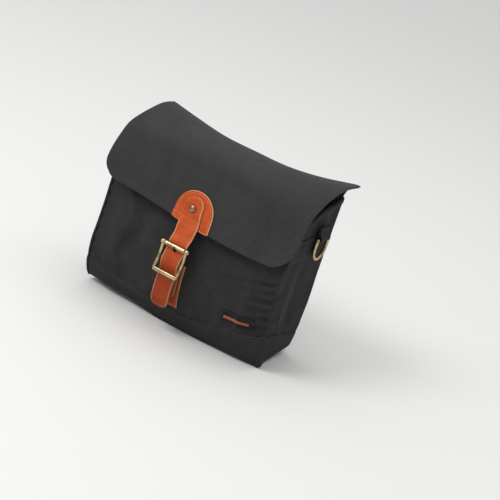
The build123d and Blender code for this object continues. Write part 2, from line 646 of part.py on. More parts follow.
def bar_strap(x):
    """Strap from the bend at the top, over and behind the bar, then down to its press stud."""
    x0, x1 = x - LOOP_W / 2, x + LOOP_W / 2
    outer_r = BAR_R + LOOP_T
    bar = rod_x(BAR_R, x0 - 5, x1 + 5, BAR_Y, BAR_Z)
    ring = rod_x(outer_r, x0, x1, BAR_Y, BAR_Z) - bar
    # the wedge keeps the part of the ring behind the bar, between the two angles
    ring = ring & prism_x(x0, x1, (BAR_Y, BAR_Z), around_bar(LOOP_START_DEG, 60),
                          (BAR_Y + 80, BAR_Z + 80), (BAR_Y + 80, BAR_Z - 80),
                          around_bar(LOOP_END_DEG, 60))

    # upper leg, from the ring's start to the roll at the bend
    top_in, top_out = around_bar(LOOP_START_DEG, BAR_R), around_bar(LOOP_START_DEG, outer_r)
    upper = prism_x(
        x0, x1,
        [top_in, (top_in[0] - 2.4, top_in[1] + 2.0), (LOOP_BEND_Y + 1.1, LOOP_BEND_Z - 0.7)],
        [(LOOP_BEND_Y + 1.0, LOOP_BEND_Z + 1.2), (top_out[0] - 2.0, top_out[1] + 2.2), top_out])
    roll = rod_x(LOOP_BEND_R, x0, x1, LOOP_BEND_Y, LOOP_BEND_Z)

    # tail, from the ring's end to the straight part with the stud
    low_in, low_out = around_bar(LOOP_END_DEG, BAR_R), around_bar(LOOP_END_DEG, outer_r)
    rear_y = TAIL_Y + LOOP_T
    straight_z = STUD_Z + 8.0
    tail_in = [low_in, (low_in[0] - 1.2, low_in[1] - 2.2),
               (TAIL_Y + 0.5, straight_z + 5.5), (TAIL_Y, straight_z)]
    tail_out = [low_out, (low_out[0] - 0.9, low_out[1] - 1.6),
                (rear_y + 0.6, straight_z + 5.5), (rear_y, straight_z)]
    tail = prism_x(x0, x1, resample(tail_in, 7), (TAIL_Y, TAIL_LOW_Z), (rear_y, TAIL_LOW_Z),
                   resample(tail_out[::-1], 7))

    strap = (ring + upper + roll + tail) - bar
    strap = strap & rounded_plate(x0, x1, TAIL_LOW_Z, 245.0, LOOP_W / 2 - 0.5, 0.0, 0.0, 200.0)
    return strap - rod_y(3.2, BACK_Y, BACK_Y + 40, x, STUD_Z)


def stud_cap(x):
    """Press-stud socket in front of the strap, and its domed cap behind."""
    rear_y = TAIL_Y + LOOP_T
    socket = (rod_y(3.14, TAIL_Y - 0.9, rear_y + 0.3, x, STUD_Z)
              + rod_y(5.4, TAIL_Y - 0.9, TAIL_Y - 0.06, x, STUD_Z))
    socket = socket - rod_y(2.45, BACK_Y, TAIL_Y + 1.2, x, STUD_Z)
    outside = block(x - 8, x + 8, rear_y + 0.06, TAIL_Y + 12, STUD_Z - 8, STUD_Z + 8)
    return socket + ((Pos(x, rear_y - 8.2, STUD_Z) * Sphere(10.4)) & outside)


# ---------------------------------------------------------------- write the pieces
os.makedirs("parts", exist_ok=True)

# pieces that occur once, each saved under its function's name
for build in (front_panel, back_panel, base_panel, back_board, base_board, lining, rim_binding,
              woven_label, flap_top, flap_top_lining, flap_front, flap_front_lining,
              closure_patch, strap_head, rivet_cap, rivet_burr, closure_strap, buckle_frame,
              buckle_centre_bar, buckle_roller, buckle_prong, buckle_chape, base_strip):
    save(build.__name__, build())

save("rear_seam_cord", rod_x(CORD_R, -HALF + 3, HALF - 3, REAR_SEAM_Y, REAR_SEAM_Z))
save("magnet_cap", snap_disc(4.3, CHAPE_OUT - 0.1))
save("magnet_base", snap_disc(2.65, 4.2))

for side, sign in SIDES:
    for build in (gusset, front_piping, gusset_band, ring_tab, d_ring):
        save(f"{build.__name__}_{side}", build(sign))
    strap_x = sign * LOOP_X
    for build in (bar_patch, stud_post, bar_strap, stud_cap):
        save(f"{build.__name__}_{side}", build(strap_x))
    save(f"patch_rivets_{side}", patch_rivet(strap_x - PIN_X), patch_rivet(strap_x + PIN_X))
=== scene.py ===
# A soft cloth handlebar bag. Its flap closes over the front with a leather patch, a strap
# and a roller buckle; each gusset has a D ring, and two leather straps on the back go round
# a bar. +Z is up, the front faces -Y, and the right gusset is on +X. Lengths in the script
# are millimetres; meshes are stored in metres.
import json
import math

import bmesh
import bpy
import numpy as np
from mathutils import Matrix, Vector, noise


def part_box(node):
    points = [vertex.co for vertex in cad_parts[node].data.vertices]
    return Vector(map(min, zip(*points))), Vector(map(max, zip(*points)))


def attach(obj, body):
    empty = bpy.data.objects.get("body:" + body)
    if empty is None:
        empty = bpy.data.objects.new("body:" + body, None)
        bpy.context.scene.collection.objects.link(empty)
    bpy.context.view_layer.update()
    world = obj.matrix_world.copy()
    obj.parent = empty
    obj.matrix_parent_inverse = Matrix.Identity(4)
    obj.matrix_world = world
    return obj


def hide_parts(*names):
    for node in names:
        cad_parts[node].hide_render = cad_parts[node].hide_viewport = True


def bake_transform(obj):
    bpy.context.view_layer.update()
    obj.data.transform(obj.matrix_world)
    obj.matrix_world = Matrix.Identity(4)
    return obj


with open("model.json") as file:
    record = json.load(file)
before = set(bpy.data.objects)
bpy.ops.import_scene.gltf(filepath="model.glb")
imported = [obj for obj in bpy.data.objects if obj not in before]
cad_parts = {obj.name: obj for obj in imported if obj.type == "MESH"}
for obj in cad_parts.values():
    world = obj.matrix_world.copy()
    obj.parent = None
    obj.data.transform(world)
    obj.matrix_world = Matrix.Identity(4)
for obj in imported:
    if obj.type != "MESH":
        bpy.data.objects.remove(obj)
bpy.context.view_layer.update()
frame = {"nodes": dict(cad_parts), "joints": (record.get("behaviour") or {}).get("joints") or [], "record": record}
MM = 0.001

# ---------------------------------------------------------------- measured from the frame
JOINTS = {joint["name"]: joint for joint in frame["joints"]}
MOUNTS = {mount["name"]: mount for mount in frame["record"]["mounts"]}


def box_mm(node):
    low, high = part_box(node)
    return np.array(low) / MM, np.array(high) / MM


def joint_mm(name):
    return np.array(JOINTS[name]["pos_m"]) / MM


def mesh_points(mesh):
    return np.array([vertex.co for vertex in mesh.vertices], float) / MM


HALF_BODY = box_mm("gusset_right")[1][0]
BACK_Y, BACK_TOP = box_mm("back_panel")[1][1:]
RIM_Z = box_mm("front_panel")[1][2]
CENTRE_BAR = joint_mm("prong_swing")
ROLLER = joint_mm("roller_spin")
FLAP_BOX_HALF = box_mm("flap_front")[1][0]
PATCH_LOW, PATCH_HIGH = box_mm("closure_patch")
STRAP_LOW, STRAP_HIGH = box_mm("closure_strap")
HEAD_TOP = box_mm("strap_head")[1][2]
FRAME_BOTTOM = box_mm("buckle_frame")[0][2]
RIVET_LOW, RIVET_HIGH = box_mm("rivet_cap")
RIVET_Z = (RIVET_LOW[2] + RIVET_HIGH[2]) / 2
STRIP_LOW, STRIP_HIGH = box_mm("base_strip")


# ---------------------------------------------------------------- numbers and curves
def smooth(start, stop, x):
    """Smooth step from 0 at start to 1 at stop."""
    t = np.clip((np.asarray(x, float) - start) / (stop - start), 0, 1)
    return t * t * (3 - 2 * t)


def fade(start, stop, x):
    return 1 - smooth(start, stop, x)


def ridge(offset, width):
    return np.exp(-(offset / width) ** 2)


def lookup(x, table):
    """Smooth interpolation in a table of (x, value) pairs, held flat past its ends."""
    xs, ys = np.array(table, float).T
    order = np.argsort(xs)
    xs, ys = xs[order], ys[order]
    x = np.clip(np.asarray(x, float), xs[0], xs[-1])
    slopes = np.diff(ys) / np.diff(xs)
    tangents = np.concatenate([[slopes[0]], (slopes[:-1] + slopes[1:]) / 2, [slopes[-1]]])
    tangents[1:-1] = np.where(slopes[:-1] * slopes[1:] <= 0, 0, tangents[1:-1])
    i = np.clip(np.searchsorted(xs, x) - 1, 0, len(xs) - 2)
    step = xs[i + 1] - xs[i]
    t = (x - xs[i]) / step
    return ((2 * t ** 3 - 3 * t ** 2 + 1) * ys[i]
            + (t ** 3 - 2 * t ** 2 + t) * step * tangents[i]
            + (-2 * t ** 3 + 3 * t ** 2) * ys[i + 1]
            + (t ** 3 - t ** 2) * step * tangents[i + 1])


def sample(x, xs, rows):
    """Linear interpolation of every column of rows, given at xs."""
    rows = np.asarray(rows)
    return np.stack([np.interp(x, xs, rows[:, k]) for k in range(rows.shape[1])], -1)


def arc_length(path):
    steps = np.linalg.norm(np.diff(path, axis=0), axis=1)
    return np.concatenate([[0], np.cumsum(steps)])


def curve(points, count):
    """Evenly spaced points along a Catmull-Rom curve."""
    points = np.array(points, float)
    ext = np.vstack([2 * points[0] - points[1], points, 2 * points[-1] - points[-2]])
    t = np.linspace(0, 1, 40, endpoint=False)[:, None]
    fine = []
    for a, b, c, d in zip(ext, ext[1:], ext[2:], ext[3:]):
        fine.append(0.5 * (2 * b + (c - a) * t + (2 * a - 5 * b + 4 * c - d) * t ** 2
                           + (3 * b - a - 3 * c + d) * t ** 3))
    fine = np.vstack(fine + [points[-1:]])
    length = arc_length(fine)
    return sample(np.linspace(0, length[-1], count), length, fine)


def signed_power(value, power):
    return math.copysign(abs(value) ** power, value)


def superellipse(count, powers=(1, 1), sizes=(1, 1)):
    """Closed outline; powers below 1 square it off."""
    return np.array([(signed_power(math.cos(a), powers[0]) * sizes[0],
                      signed_power(math.sin(a), powers[1]) * sizes[1])
                     for a in np.linspace(0, 2 * math.pi, count, endpoint=False)])


def arc(centre_a, centre_b, radius, degrees):
    return [(centre_a + radius * math.cos(math.radians(angle)),
             centre_b + radius * math.sin(math.radians(angle))) for angle in degrees]


def round_end(half, radius, left):
    """Half width of a strip whose end corners have this radius, at distance left from it."""
    return half - radius + math.sqrt(max(radius ** 2 - max(0, radius - left) ** 2, 0))


def cloud(x, y, scale, seed, octaves):
    """Smooth noise field on arrays, about -1 to 1."""
    values = [sum(noise.noise(Vector((a / scale * 2 ** o, b / scale * 2 ** o,
                                      seed * 7.3 + o * 3.1))) / 2 ** o
                  for o in range(octaves))
              for a, b in zip(x.ravel().tolist(), y.ravel().tolist())]
    return np.array(values).reshape(x.shape)


def hanging_folds(table, x, z, pivot):
    """Sum of slanting folds. Table: height, x at the pivot level, slant, width, start, full."""
    total = np.zeros(np.broadcast(x, z).shape)
    for height, centre, slant, width, start, full in table:
        total += height * ridge(x - centre - slant * (z - pivot), width) * smooth(start, full, z)
    return total


def unit(vectors):
    return vectors / np.linalg.norm(vectors, axis=-1, keepdims=True)


def normals(sheet):
    """Unit normals of a grid of points: cross of the two grid directions."""
    cross = np.cross(np.gradient(sheet, axis=0), np.gradient(sheet, axis=1))
    return cross / np.maximum(np.linalg.norm(cross, axis=2, keepdims=True), 1e-9)


def normals_toward(sheet, probe, direction):
    """Grid normals, all flipped if the one at probe looks away from direction."""
    facing = normals(sheet)
    return facing if facing[probe] @ direction > 0 else -facing


def path_normals(path, across=(1, 0, 0)):
    tangents = unit(np.gradient(path, axis=0))
    return unit(np.cross(tangents, np.tile(np.array(across, float), (len(path), 1))))


def sheet_grid(row_values, col_values, spot):
    """Points and normals from spot(row, col), which returns one of each."""
    pairs = np.array([[spot(row, col) for col in col_values] for row in row_values])
    return pairs[:, :, 0], pairs[:, :, 1]


# ---------------------------------------------------------------- mesh helpers
def shade_smooth(piece):
    piece.data.polygons.foreach_set("use_smooth", [True] * len(piece.data.polygons))


def make_mesh(name, verts, faces, material, uv=None, edge=None):
    """Mesh object from millimetre points. One UV unit is 100 mm; edge marks cut edges."""
    mesh = bpy.data.meshes.new(name)
    mesh.from_pydata([tuple(v) for v in np.asarray(verts, float) * MM], [],
                     [tuple(int(i) for i in face) for face in faces])
    mesh.validate()
    mesh.update()
    piece = bpy.data.objects.new(name, mesh)
    bpy.context.scene.collection.objects.link(piece)
    if uv is not None:
        layer = mesh.uv_layers.new(name="UVMap")
        corners = np.zeros(len(mesh.loops), int)
        mesh.loops.foreach_get("vertex_index", corners)
        layer.data.foreach_set("uv", (np.asarray(uv, float)[corners] * 0.01).ravel())
    if edge is not None:
        attribute = mesh.attributes.new("edge", "FLOAT", "POINT")
        attribute.data.foreach_set("value", np.asarray(edge, np.float32))
    shade_smooth(piece)
    mesh.materials.append(material)
    return piece


def outward(piece, weld=None):
    """Makes every face point outward, after merging points closer than weld metres."""
    work = bmesh.new()
    work.from_mesh(piece.data)
    if weld:
        bmesh.ops.remove_doubles(work, verts=work.verts, dist=weld)
        bmesh.ops.dissolve_degenerate(work, edges=work.edges, dist=weld / 4)
    bmesh.ops.recalc_face_normals(work, faces=work.faces)
    work.to_mesh(piece.data)
    work.free()
    return piece


def welded(piece):
    outward(piece, weld=0.00002)
    shade_smooth(piece)
    return piece


def set_points(mesh, points):
    mesh.vertices.foreach_set("co", (points * MM).ravel())
    mesh.update()


def solidify(piece, thickness):
    """Thickens a sheet inward and applies the modifier."""
    modifier = piece.modifiers.new("solid", "SOLIDIFY")
    modifier.thickness = thickness * MM
    modifier.offset = -1
    bpy.ops.object.select_all(action="DESELECT")
    bpy.context.view_layer.objects.active = piece
    piece.select_set(True)
    bpy.ops.object.modifier_apply(modifier="solid")
    shade_smooth(piece)


def join(name, pieces):
    """One object out of several, with the first one's place in the material list."""
    bpy.ops.object.select_all(action="DESELECT")
    for piece in pieces:
        piece.select_set(True)
    bpy.context.view_layer.objects.active = pieces[0]
    bpy.ops.object.join()
    joined = bpy.context.view_layer.objects.active
    joined.name = name
    joined.data.name = name
    return joined


def place(piece, part, slot, *replaced):
    """Tells the frame which part moves the piece and what it stands for; slot is not used."""
    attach(piece, part)
    if replaced:
        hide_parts(*replaced)


def quads(ids, flip=False):
    a, b, c, d = ids[:-1, :-1], ids[:-1, 1:], ids[1:, 1:], ids[1:, :-1]
    order = (a, d, c, b) if flip else (a, b, c, d)
    return list(zip(*(corner.ravel() for corner in order)))


def sleeve_faces(rings, sides, closed=False, caps=True):
    """Faces round a stack of rings; closed joins the last ring to the first."""
    faces = [(i * sides + j, i * sides + (j + 1) % sides,
              (i + 1) % rings * sides + (j + 1) % sides, (i + 1) % rings * sides + j)
             for i in range(rings if closed else rings - 1) for j in range(sides)]
    if caps and not closed:
        faces.append(tuple(range(sides))[::-1])
        faces.append(tuple((rings - 1) * sides + j for j in range(sides)))
    return faces


def slab(name, sheet, facing, thickness, material, rounding=0.35, lip=0.0):
    """Closed sheet under a grid of points, with a rounded rim marked edge = 1.
    Rounding is a share of the thickness; lip is the edge value of the outer face."""
    rows, cols = sheet.shape[:2]
    count = rows * cols

    def drawn_in(points):
        points = points.copy()
        for edge, near in ((np.s_[:, 0], np.s_[:, 1]), (np.s_[:, -1], np.s_[:, -2]),
                           (np.s_[0], np.s_[1]), (np.s_[-1], np.s_[-2])):
            step = points[near] - points[edge]
            size = np.linalg.norm(step, axis=-1, keepdims=True)
            points[edge] += (step / np.maximum(size, 1e-9)
                             * np.minimum(rounding * thickness, size * 0.45))
        return points.reshape(-1, 3)

    ids = np.arange(count).reshape(rows, cols)
    faces = quads(ids, flip=True) + quads(ids + count)
    rim = np.array([(i, 0) for i in range(rows)] + [(rows - 1, j) for j in range(1, cols)]
                   + [(i, cols - 1) for i in range(rows - 2, -1, -1)]
                   + [(0, j) for j in range(cols - 2, 0, -1)])
    rim_row, rim_col = rim.T
    rim_ids = rim_row * cols + rim_col
    size = len(rim)
    depths = (0.22, 0.5, 0.78)
    rings = [sheet[rim_row, rim_col] - facing[rim_row, rim_col] * (thickness * depth)
             for depth in depths]
    chain = ([rim_ids] + [2 * count + k * size + np.arange(size) for k in range(len(depths))]
             + [rim_ids + count])
    for first, second in zip(chain, chain[1:]):
        for k in range(size):
            after = (k + 1) % size
            faces.append((first[k], second[k], second[after], first[after]))
    verts = np.vstack([drawn_in(sheet), drawn_in(sheet - facing * thickness)] + rings)
    uv = np.stack(np.meshgrid(arc_length(sheet[rows // 2]), arc_length(sheet[:, cols // 2])), -1)
    uv = uv.reshape(-1, 2)
    edge = np.zeros(len(verts))
    edge[:count] = np.ravel(lip)
    edge[2 * count:] = 1
    uvs = np.vstack([uv, uv] + [uv[rim_ids]] * len(depths))
    return outward(make_mesh(name, verts, faces, material, uvs, edge))


FLAT_STEPS = np.array([-0.935, -0.75, -0.5, -0.25, 0.0, 0.25, 0.5, 0.75, 0.935])


def strap_section(half, thickness, crown):
    """Rounded rectangle as rows of (across, up, edge value); crown bulges the upper face."""
    radius = min(0.42 * thickness, half * 0.8)
    rows = []
    for side, face, start in ((1, 1, 0), (-1, 1, 90), (-1, -1, 180), (1, -1, 270)):
        for angle in math.radians(start) + np.linspace(0, math.pi / 2, 5):
            rows.append((side * (half - radius) + radius * math.cos(angle),
                         face * (thickness / 2 - radius) + radius * math.sin(angle),
                         max(abs(math.cos(angle)) ** 1.2, 0.75 if face > 0 else 0.0)))
        if side == face:
            for share in FLAT_STEPS[::-face]:
                rise = max(face, 0) * crown * (1 - share * share)
                rows.append((share * (half - radius), face * thickness / 2 + rise, 0))
    return np.array(rows)


def strap_loft(name, path, halves, thickness, material, facing, across=(1, 0, 0), crown=0.0):
    """Strap whose section's middle follows path; halves holds each station's half width."""
    across = np.array(across, float)
    along = arc_length(path)
    verts, uv, edge = [], [], []
    for i, middle in enumerate(path):
        section = strap_section(max(halves[i], 0.05), thickness, crown)
        verts.append(middle + across * section[:, :1] + facing[i] * section[:, 1:2])
        uv += [(offset + 50, along[i]) for offset in section[:, 0]]
        edge.append(section[:, 2])
    edge[0] = edge[-1] = np.ones(len(section))
    return outward(make_mesh(name, np.vstack(verts), sleeve_faces(len(path), len(section)),
                             material, uv, np.concatenate(edge)))


def tube(name, path, radius, material, up, sides=12, closed=False, section=None):
    """Bar along a path, round or with the given section scaled by radius."""
    path = np.array(path, float)
    count = len(path)
    if closed:
        tangents = unit(np.roll(path, -1, 0) - np.roll(path, 1, 0))
    else:
        tangents = unit(np.gradient(path, axis=0))
    first = []
    carried = np.array(up, float)
    for tangent in tangents:
        carried = unit(carried - tangent * (tangent @ carried))
        first.append(carried)
    first = np.array(first)
    second = np.cross(tangents, first)
    section = superellipse(sides) if section is None else section
    radii = np.broadcast_to(np.asarray(radius, float), (count,))
    verts = np.vstack([path[i] + radii[i] * (first[i] * section[:, :1]
                                             + second[i] * section[:, 1:])
                       for i in range(count)])
    size = len(section)
    along = arc_length(path)
    uv = [(j * 2 * math.pi * radii[i] / size, along[i])
          for i in range(count) for j in range(size)]
    return outward(make_mesh(name, verts, sleeve_faces(count, size, closed), material, uv))


# one stitch: position along it, share of the radius, rise in radii
STITCH_RINGS = [(-0.5, 0.25, -0.22), (-0.36, 0.85, 0.02), (0.0, 1.0, 0.12),
                (0.36, 0.85, 0.02), (0.5, 0.25, -0.22)]
STITCH_SIDES = 6
STITCH_FACES = np.array(sleeve_faces(len(STITCH_RINGS), STITCH_SIDES, caps=False))
STITCH_CAPS = np.array(sleeve_faces(len(STITCH_RINGS), STITCH_SIDES)[-2:])


def stitches(name, row, material, length, gap, radius, lift):
    """Thread stitches along a row of (point, normal) pairs, lift above the surface."""
    points, facing = (np.array(part, float) for part in zip(*row))
    along = arc_length(points)
    count = max(1, int(along[-1] / (length + gap)))
    pitch = along[-1] / count
    verts, faces = [], []
    for k in range(count):
        start = len(verts)
        for share, size, rise in STITCH_RINGS:
            spot = (k + 0.5) * pitch + share * length * (pitch / (length + gap))
            normal = unit(sample(spot, along, facing))
            ahead = (sample(min(spot + 0.2, along[-1]), along, points)
                     - sample(max(spot - 0.2, 0), along, points))
            side = np.cross(ahead / max(np.linalg.norm(ahead), 1e-9), normal)
            side /= max(np.linalg.norm(side), 1e-9)
            centre = sample(spot, along, points) + normal * (lift + rise * radius)
            for j in range(STITCH_SIDES):
                angle = 2 * math.pi * j / STITCH_SIDES
                verts.append(centre + side * (math.cos(angle) * radius * size * 1.15)
                             + normal * (math.sin(angle) * radius * size))
        faces += (STITCH_FACES + start).tolist() + (STITCH_CAPS + start).tolist()
    return outward(make_mesh(name, verts, faces, material))


def lathe(name, origin, axis, profile, material, segments=40):
    """Turned piece; profile is (radius, height along axis) from one end to the other."""
    axis = unit(np.array(axis, float))
    start = np.array([1.0, 0, 0]) if abs(axis[0]) < 0.9 else np.array([0, 1.0, 0])
    first = unit(start - axis * (start @ axis))
    second = np.cross(axis, first)
    verts, rings = [], []
    for radius, height in profile:
        centre = np.array(origin) + axis * height
        count = 1 if radius < 1e-6 else segments
        rings.append(list(range(len(verts), len(verts) + count)))
        for k in range(count):
            angle = 2 * math.pi * k / segments
            verts.append(centre + (first * math.cos(angle) + second * math.sin(angle)) * radius)
    faces = []
    for near, far in zip(rings, rings[1:]):
        for k in range(segments):
            after = (k + 1) % segments
            if len(near) == 1:
                faces.append((near[0], far[k], far[after]))
            elif len(far) == 1:
                faces.append((near[k], far[0], near[after]))
            else:
                faces.append((near[k], far[k], far[after], near[after]))
    return outward(make_mesh(name, verts, faces, material))


def dome(name, origin, axis, radius, height, material, rim=0.5):
    profile = [(0.0, height)]
    for degrees in np.linspace(8, 82, 9):
        angle = math.radians(degrees)
        profile.append((radius * 0.96 * math.sin(angle), rim + (height - rim) * math.cos(angle)))
    profile += [(radius * 0.985, rim * 0.9), (radius, rim * 0.5), (radius * 0.97, 0.05),
                (radius * 0.9, 0.0), (0.0, 0.0)]
    return lathe(name, origin, axis, profile, material)


# ---------------------------------------------------------------- shader helpers
def new_material(name):
    material = bpy.data.materials.new(name)
    material.use_nodes = True
    tree = material.node_tree
    tree.nodes.clear()
    output = tree.nodes.new("ShaderNodeOutputMaterial")
    surface = tree.nodes.new("ShaderNodeBsdfPrincipled")
    tree.links.new(surface.outputs[0], output.inputs[0])
    return material, tree, surface


def set_inputs(node, **values):
    for key, value in values.items():
        node.inputs[key.replace("_", " ")].default_value = value


def feed(tree, socket, value):
    """Sets a socket to a number, or links another socket to it."""
    if isinstance(value, (int, float)):
        socket.default_value = value
    else:
        tree.links.new(value, socket)


def texture(tree, kind, vector, output="Fac", **values):
    node = tree.nodes.new("ShaderNodeTex" + kind)
    set_inputs(node, **values)
    tree.links.new(vector, node.inputs[0])
    return node.outputs[output]


def wave(tree, vector, scale, direction):
    bands = texture(tree, "Wave", vector, Scale=scale, Distortion=0.6, Detail=1.0,
                    Detail_Scale=2)
    bands.node.bands_direction = direction
    return bands


def ramp(tree, source, stops):
    """Colour ramp; a stop is a position and a colour, or one number for a grey."""
    node = tree.nodes.new("ShaderNodeValToRGB")
    elements = node.color_ramp.elements
    while len(elements) > 1:
        elements.remove(elements[-1])
    for k, (position, color) in enumerate(stops):
        element = elements.new(position) if k else elements[0]
        element.position = position
        element.color = (*(color if isinstance(color, tuple) else (color,) * 3), 1)
    tree.links.new(source, node.inputs[0])
    return node.outputs[0]


def math_node(tree, operation, first, second):
    node = tree.nodes.new("ShaderNodeMath")
    node.operation = operation
    feed(tree, node.inputs[0], first)
    feed(tree, node.inputs[1], second)
    return node.outputs[0]


def mix(tree, factor, first, second, mode="MIX"):
    node = tree.nodes.new("ShaderNodeMix")
    node.data_type = "RGBA"
    node.blend_type = mode
    for index, value in ((0, factor), (6, first), (7, second)):
        feed(tree, node.inputs[index], value)
    return node.outputs[2]


def multiply(tree, first, second):
    return mix(tree, 1.0, first, second, "MULTIPLY")


def mapping(tree, vector):
    node = tree.nodes.new("ShaderNodeMapping")
    tree.links.new(vector, node.inputs[0])
    return node


def coords(tree, kind):
    source = tree.nodes.new("ShaderNodeTexCoord")
    return mapping(tree, source.outputs[kind]).outputs[0]


def bump(tree, height, strength, distance, below=None):
    node = tree.nodes.new("ShaderNodeBump")
    set_inputs(node, Strength=strength, Distance=distance)
    tree.links.new(height, node.inputs["Height"])
    if below is not None:
        tree.links.new(below, node.inputs["Normal"])
    return node.outputs[0]


def finish_surface(tree, surface, color, normal):
    tree.links.new(color, surface.inputs["Base Color"])
    tree.links.new(normal, surface.inputs["Normal"])


def tint(color, factor, lift=0.0):
    return tuple(channel * factor + lift for channel in color)


# ---------------------------------------------------------------- materials
def cloth(name, color, pitch, sheen, rough, wear=0.12, relief=0.35, twill=False):
    """Woven cloth: threads at a pitch in mm, mottled dye, soft sheen, small creases."""
    material, tree, surface = new_material(name)
    turned = mapping(tree, coords(tree, "UV"))
    scale = 10 / pitch
    if twill:
        set_inputs(turned, Rotation=(0, 0, math.radians(35)))
    weave = wave(tree, turned.outputs[0], scale, "X")
    if not twill:
        weft = wave(tree, turned.outputs[0], scale, "Y")
        weave = math_node(tree, "MAXIMUM", weave, weft)
    place_in = coords(tree, "Object")
    mottle = texture(tree, "Noise", place_in, Scale=26.0, Detail=4.0, Roughness=0.6)
    fine = texture(tree, "Noise", place_in, Scale=420.0, Detail=2.0, Roughness=0.6)
    base = ramp(tree, mottle, [(0.3, tint(color, 1 - wear * 1.2)),
                               (0.7, tint(color, 1 + wear * 1.6, 0.002))])
    base = multiply(tree, base, ramp(tree, weave, [(0.0, 0.91), (1.0, 1.06)]))
    base = multiply(tree, base, ramp(tree, fine, [(0.3, 0.88), (0.7, 1.12)]))
    set_inputs(surface, Roughness=rough, Sheen_Weight=sheen, Sheen_Roughness=0.45,
               Sheen_Tint=(1.0, 0.99, 0.97, 1), Specular_IOR_Level=0.10)
    crease = texture(tree, "Noise", place_in, Scale=95.0, Detail=5.0, Roughness=0.62,
                     Distortion=0.4)
    threads = bump(tree, weave, strength=relief, distance=0.00025)
    finish_surface(tree, surface, base,
                   bump(tree, crease, strength=0.22, distance=0.0012, below=threads))
    return material


def leather(name, color, edge_color, rough=0.46, painted_low_shade=False):
    """Mottled tan leather: fine grain, light scuffs, its own colour on cut edges, and the same pale colour as
    painted highlight where a face is given an edge value.
    """
    material, tree, surface = new_material(name)
    place_in = coords(tree, "Object")
    mottle = texture(tree, "Noise", place_in, Scale=60.0, Detail=5.0, Roughness=0.62)
    base = ramp(tree, mottle, [(0.28, tint(color, 0.74)), (0.48, color),
                               (0.74, tint(color, 1.18, 0.01))])
    scuff = texture(tree, "Noise", place_in, Scale=190.0, Detail=6.0, Roughness=0.7,
                    Distortion=1.2)
    base = multiply(tree, base, ramp(tree, scuff, [(0.35, (0.86, 0.84, 0.82)), (0.62, 1.0),
                                                   (0.75, (1.15, 1.13, 1.1))]))
    attribute = tree.nodes.new("ShaderNodeAttribute")
    attribute.attribute_name = "edge"
    fibre = texture(tree, "Noise", place_in, Scale=900.0, Detail=2.0)
    cut = ramp(tree, fibre, [(0.3, tint(edge_color, 0.72)), (0.7, edge_color)])
    on_edge = ramp(tree, attribute.outputs["Fac"], [(0.35, 0), (0.8, 1)])
    base = mix(tree, math_node(tree, "MULTIPLY", on_edge, 0.85), base, cut)
    if painted_low_shade:
        # painted shade: the leather is darker towards the bag's foot, standing in for the shade under the buckle
        split = tree.nodes.new("ShaderNodeSeparateXYZ")
        tree.links.new(place_in, split.inputs[0])
        height = math_node(tree, "MULTIPLY", split.outputs[2], 4.0)
        low_shade_ramp = ramp(tree, height, [(0.26, (0.62, 0.60, 0.64)), (0.50, 1.0)])
        base = multiply(tree, base, low_shade_ramp)
    roughness = ramp(tree, scuff, [(0.3, rough - 0.07), (0.7, rough + 0.13)])
    tree.links.new(roughness, surface.inputs["Roughness"])
    set_inputs(surface, Specular_IOR_Level=0.13, Coat_Weight=0.04, Coat_Roughness=0.35)
    grain = texture(tree, "Voronoi", place_in, output="Distance", Scale=1500.0)
    pores = bump(tree, grain, strength=0.22, distance=0.00018)
    finish_surface(tree, surface, base,
                   bump(tree, scuff, strength=0.25, distance=0.0006, below=pores))
    return material


def metal(name, color, dark, rough, patina=0.5):
    """Aged metal: dark patches in a brighter colour, uneven polish."""
    material, tree, surface = new_material(name)
    place_in = coords(tree, "Object")
    patches = texture(tree, "Noise", place_in, Scale=80.0, Detail=2.0, Roughness=0.5)
    base = ramp(tree, patches, [(0.42 - patina * 0.3, dark), (0.56, color)])
    set_inputs(surface, Metallic=1.0)
    fine = texture(tree, "Noise", place_in, Scale=700.0, Detail=3.0, Roughness=0.6)
    roughness = ramp(tree, fine, [(0.3, rough - 0.06), (0.7, rough + 0.16)])
    tree.links.new(roughness, surface.inputs["Roughness"])
    finish_surface(tree, surface, base, bump(tree, fine, strength=0.012, distance=0.0001))
    return material


def thread(name, color):
    material, tree, surface = new_material(name)
    twist = texture(tree, "Noise", coords(tree, "Object"), Scale=1600.0, Detail=1.0)
    base = ramp(tree, twist, [(0.3, tint(color, 0.7)), (0.7, color)])
    set_inputs(surface, Roughness=0.7, Sheen_Weight=0.2)
    finish_surface(tree, surface, base, bump(tree, twist, strength=0.4, distance=0.0002))
    return material


FLAP_CLOTH = cloth("flap_cloth", (0.0345, 0.0343, 0.034), pitch=0.8, sheen=0.05, rough=0.74,
                   wear=0.06)
BODY_CLOTH = cloth("body_cloth", (0.0265, 0.0263, 0.0261), pitch=0.8, sheen=0.02, rough=0.76,
                   wear=0.08)
LINING_CLOTH = cloth("lining_cloth", (0.085, 0.085, 0.088), pitch=0.6, sheen=0.1, rough=0.6,
                     wear=0.05)
TAPE = cloth("ribbed_tape", (0.020, 0.020, 0.020), pitch=0.8, sheen=0.05, rough=0.8,
             relief=0.4, twill=True)
TAB_WEB = cloth("ring_tab_web", (0.062, 0.020, 0.012), pitch=0.8, sheen=0.05, rough=0.74,
                relief=0.4)
LABEL_CLOTH = cloth("label_cloth", (0.010, 0.010, 0.0105), pitch=0.5, sheen=0.15, rough=0.62,
                    relief=0.3)
# tan leather, with painted shade darkening it towards the bag's foot
LEATHER = leather("tan_leather", (0.50, 0.078, 0.0145), edge_color=(0.80, 0.42, 0.22),
                  painted_low_shade=True)
# darker tan leather, used for the buckle's chape behind the strap
LEATHER_DARKER = leather("tan_leather_darker", (0.34, 0.10, 0.035),
                        edge_color=(0.42, 0.17, 0.08), rough=0.7)
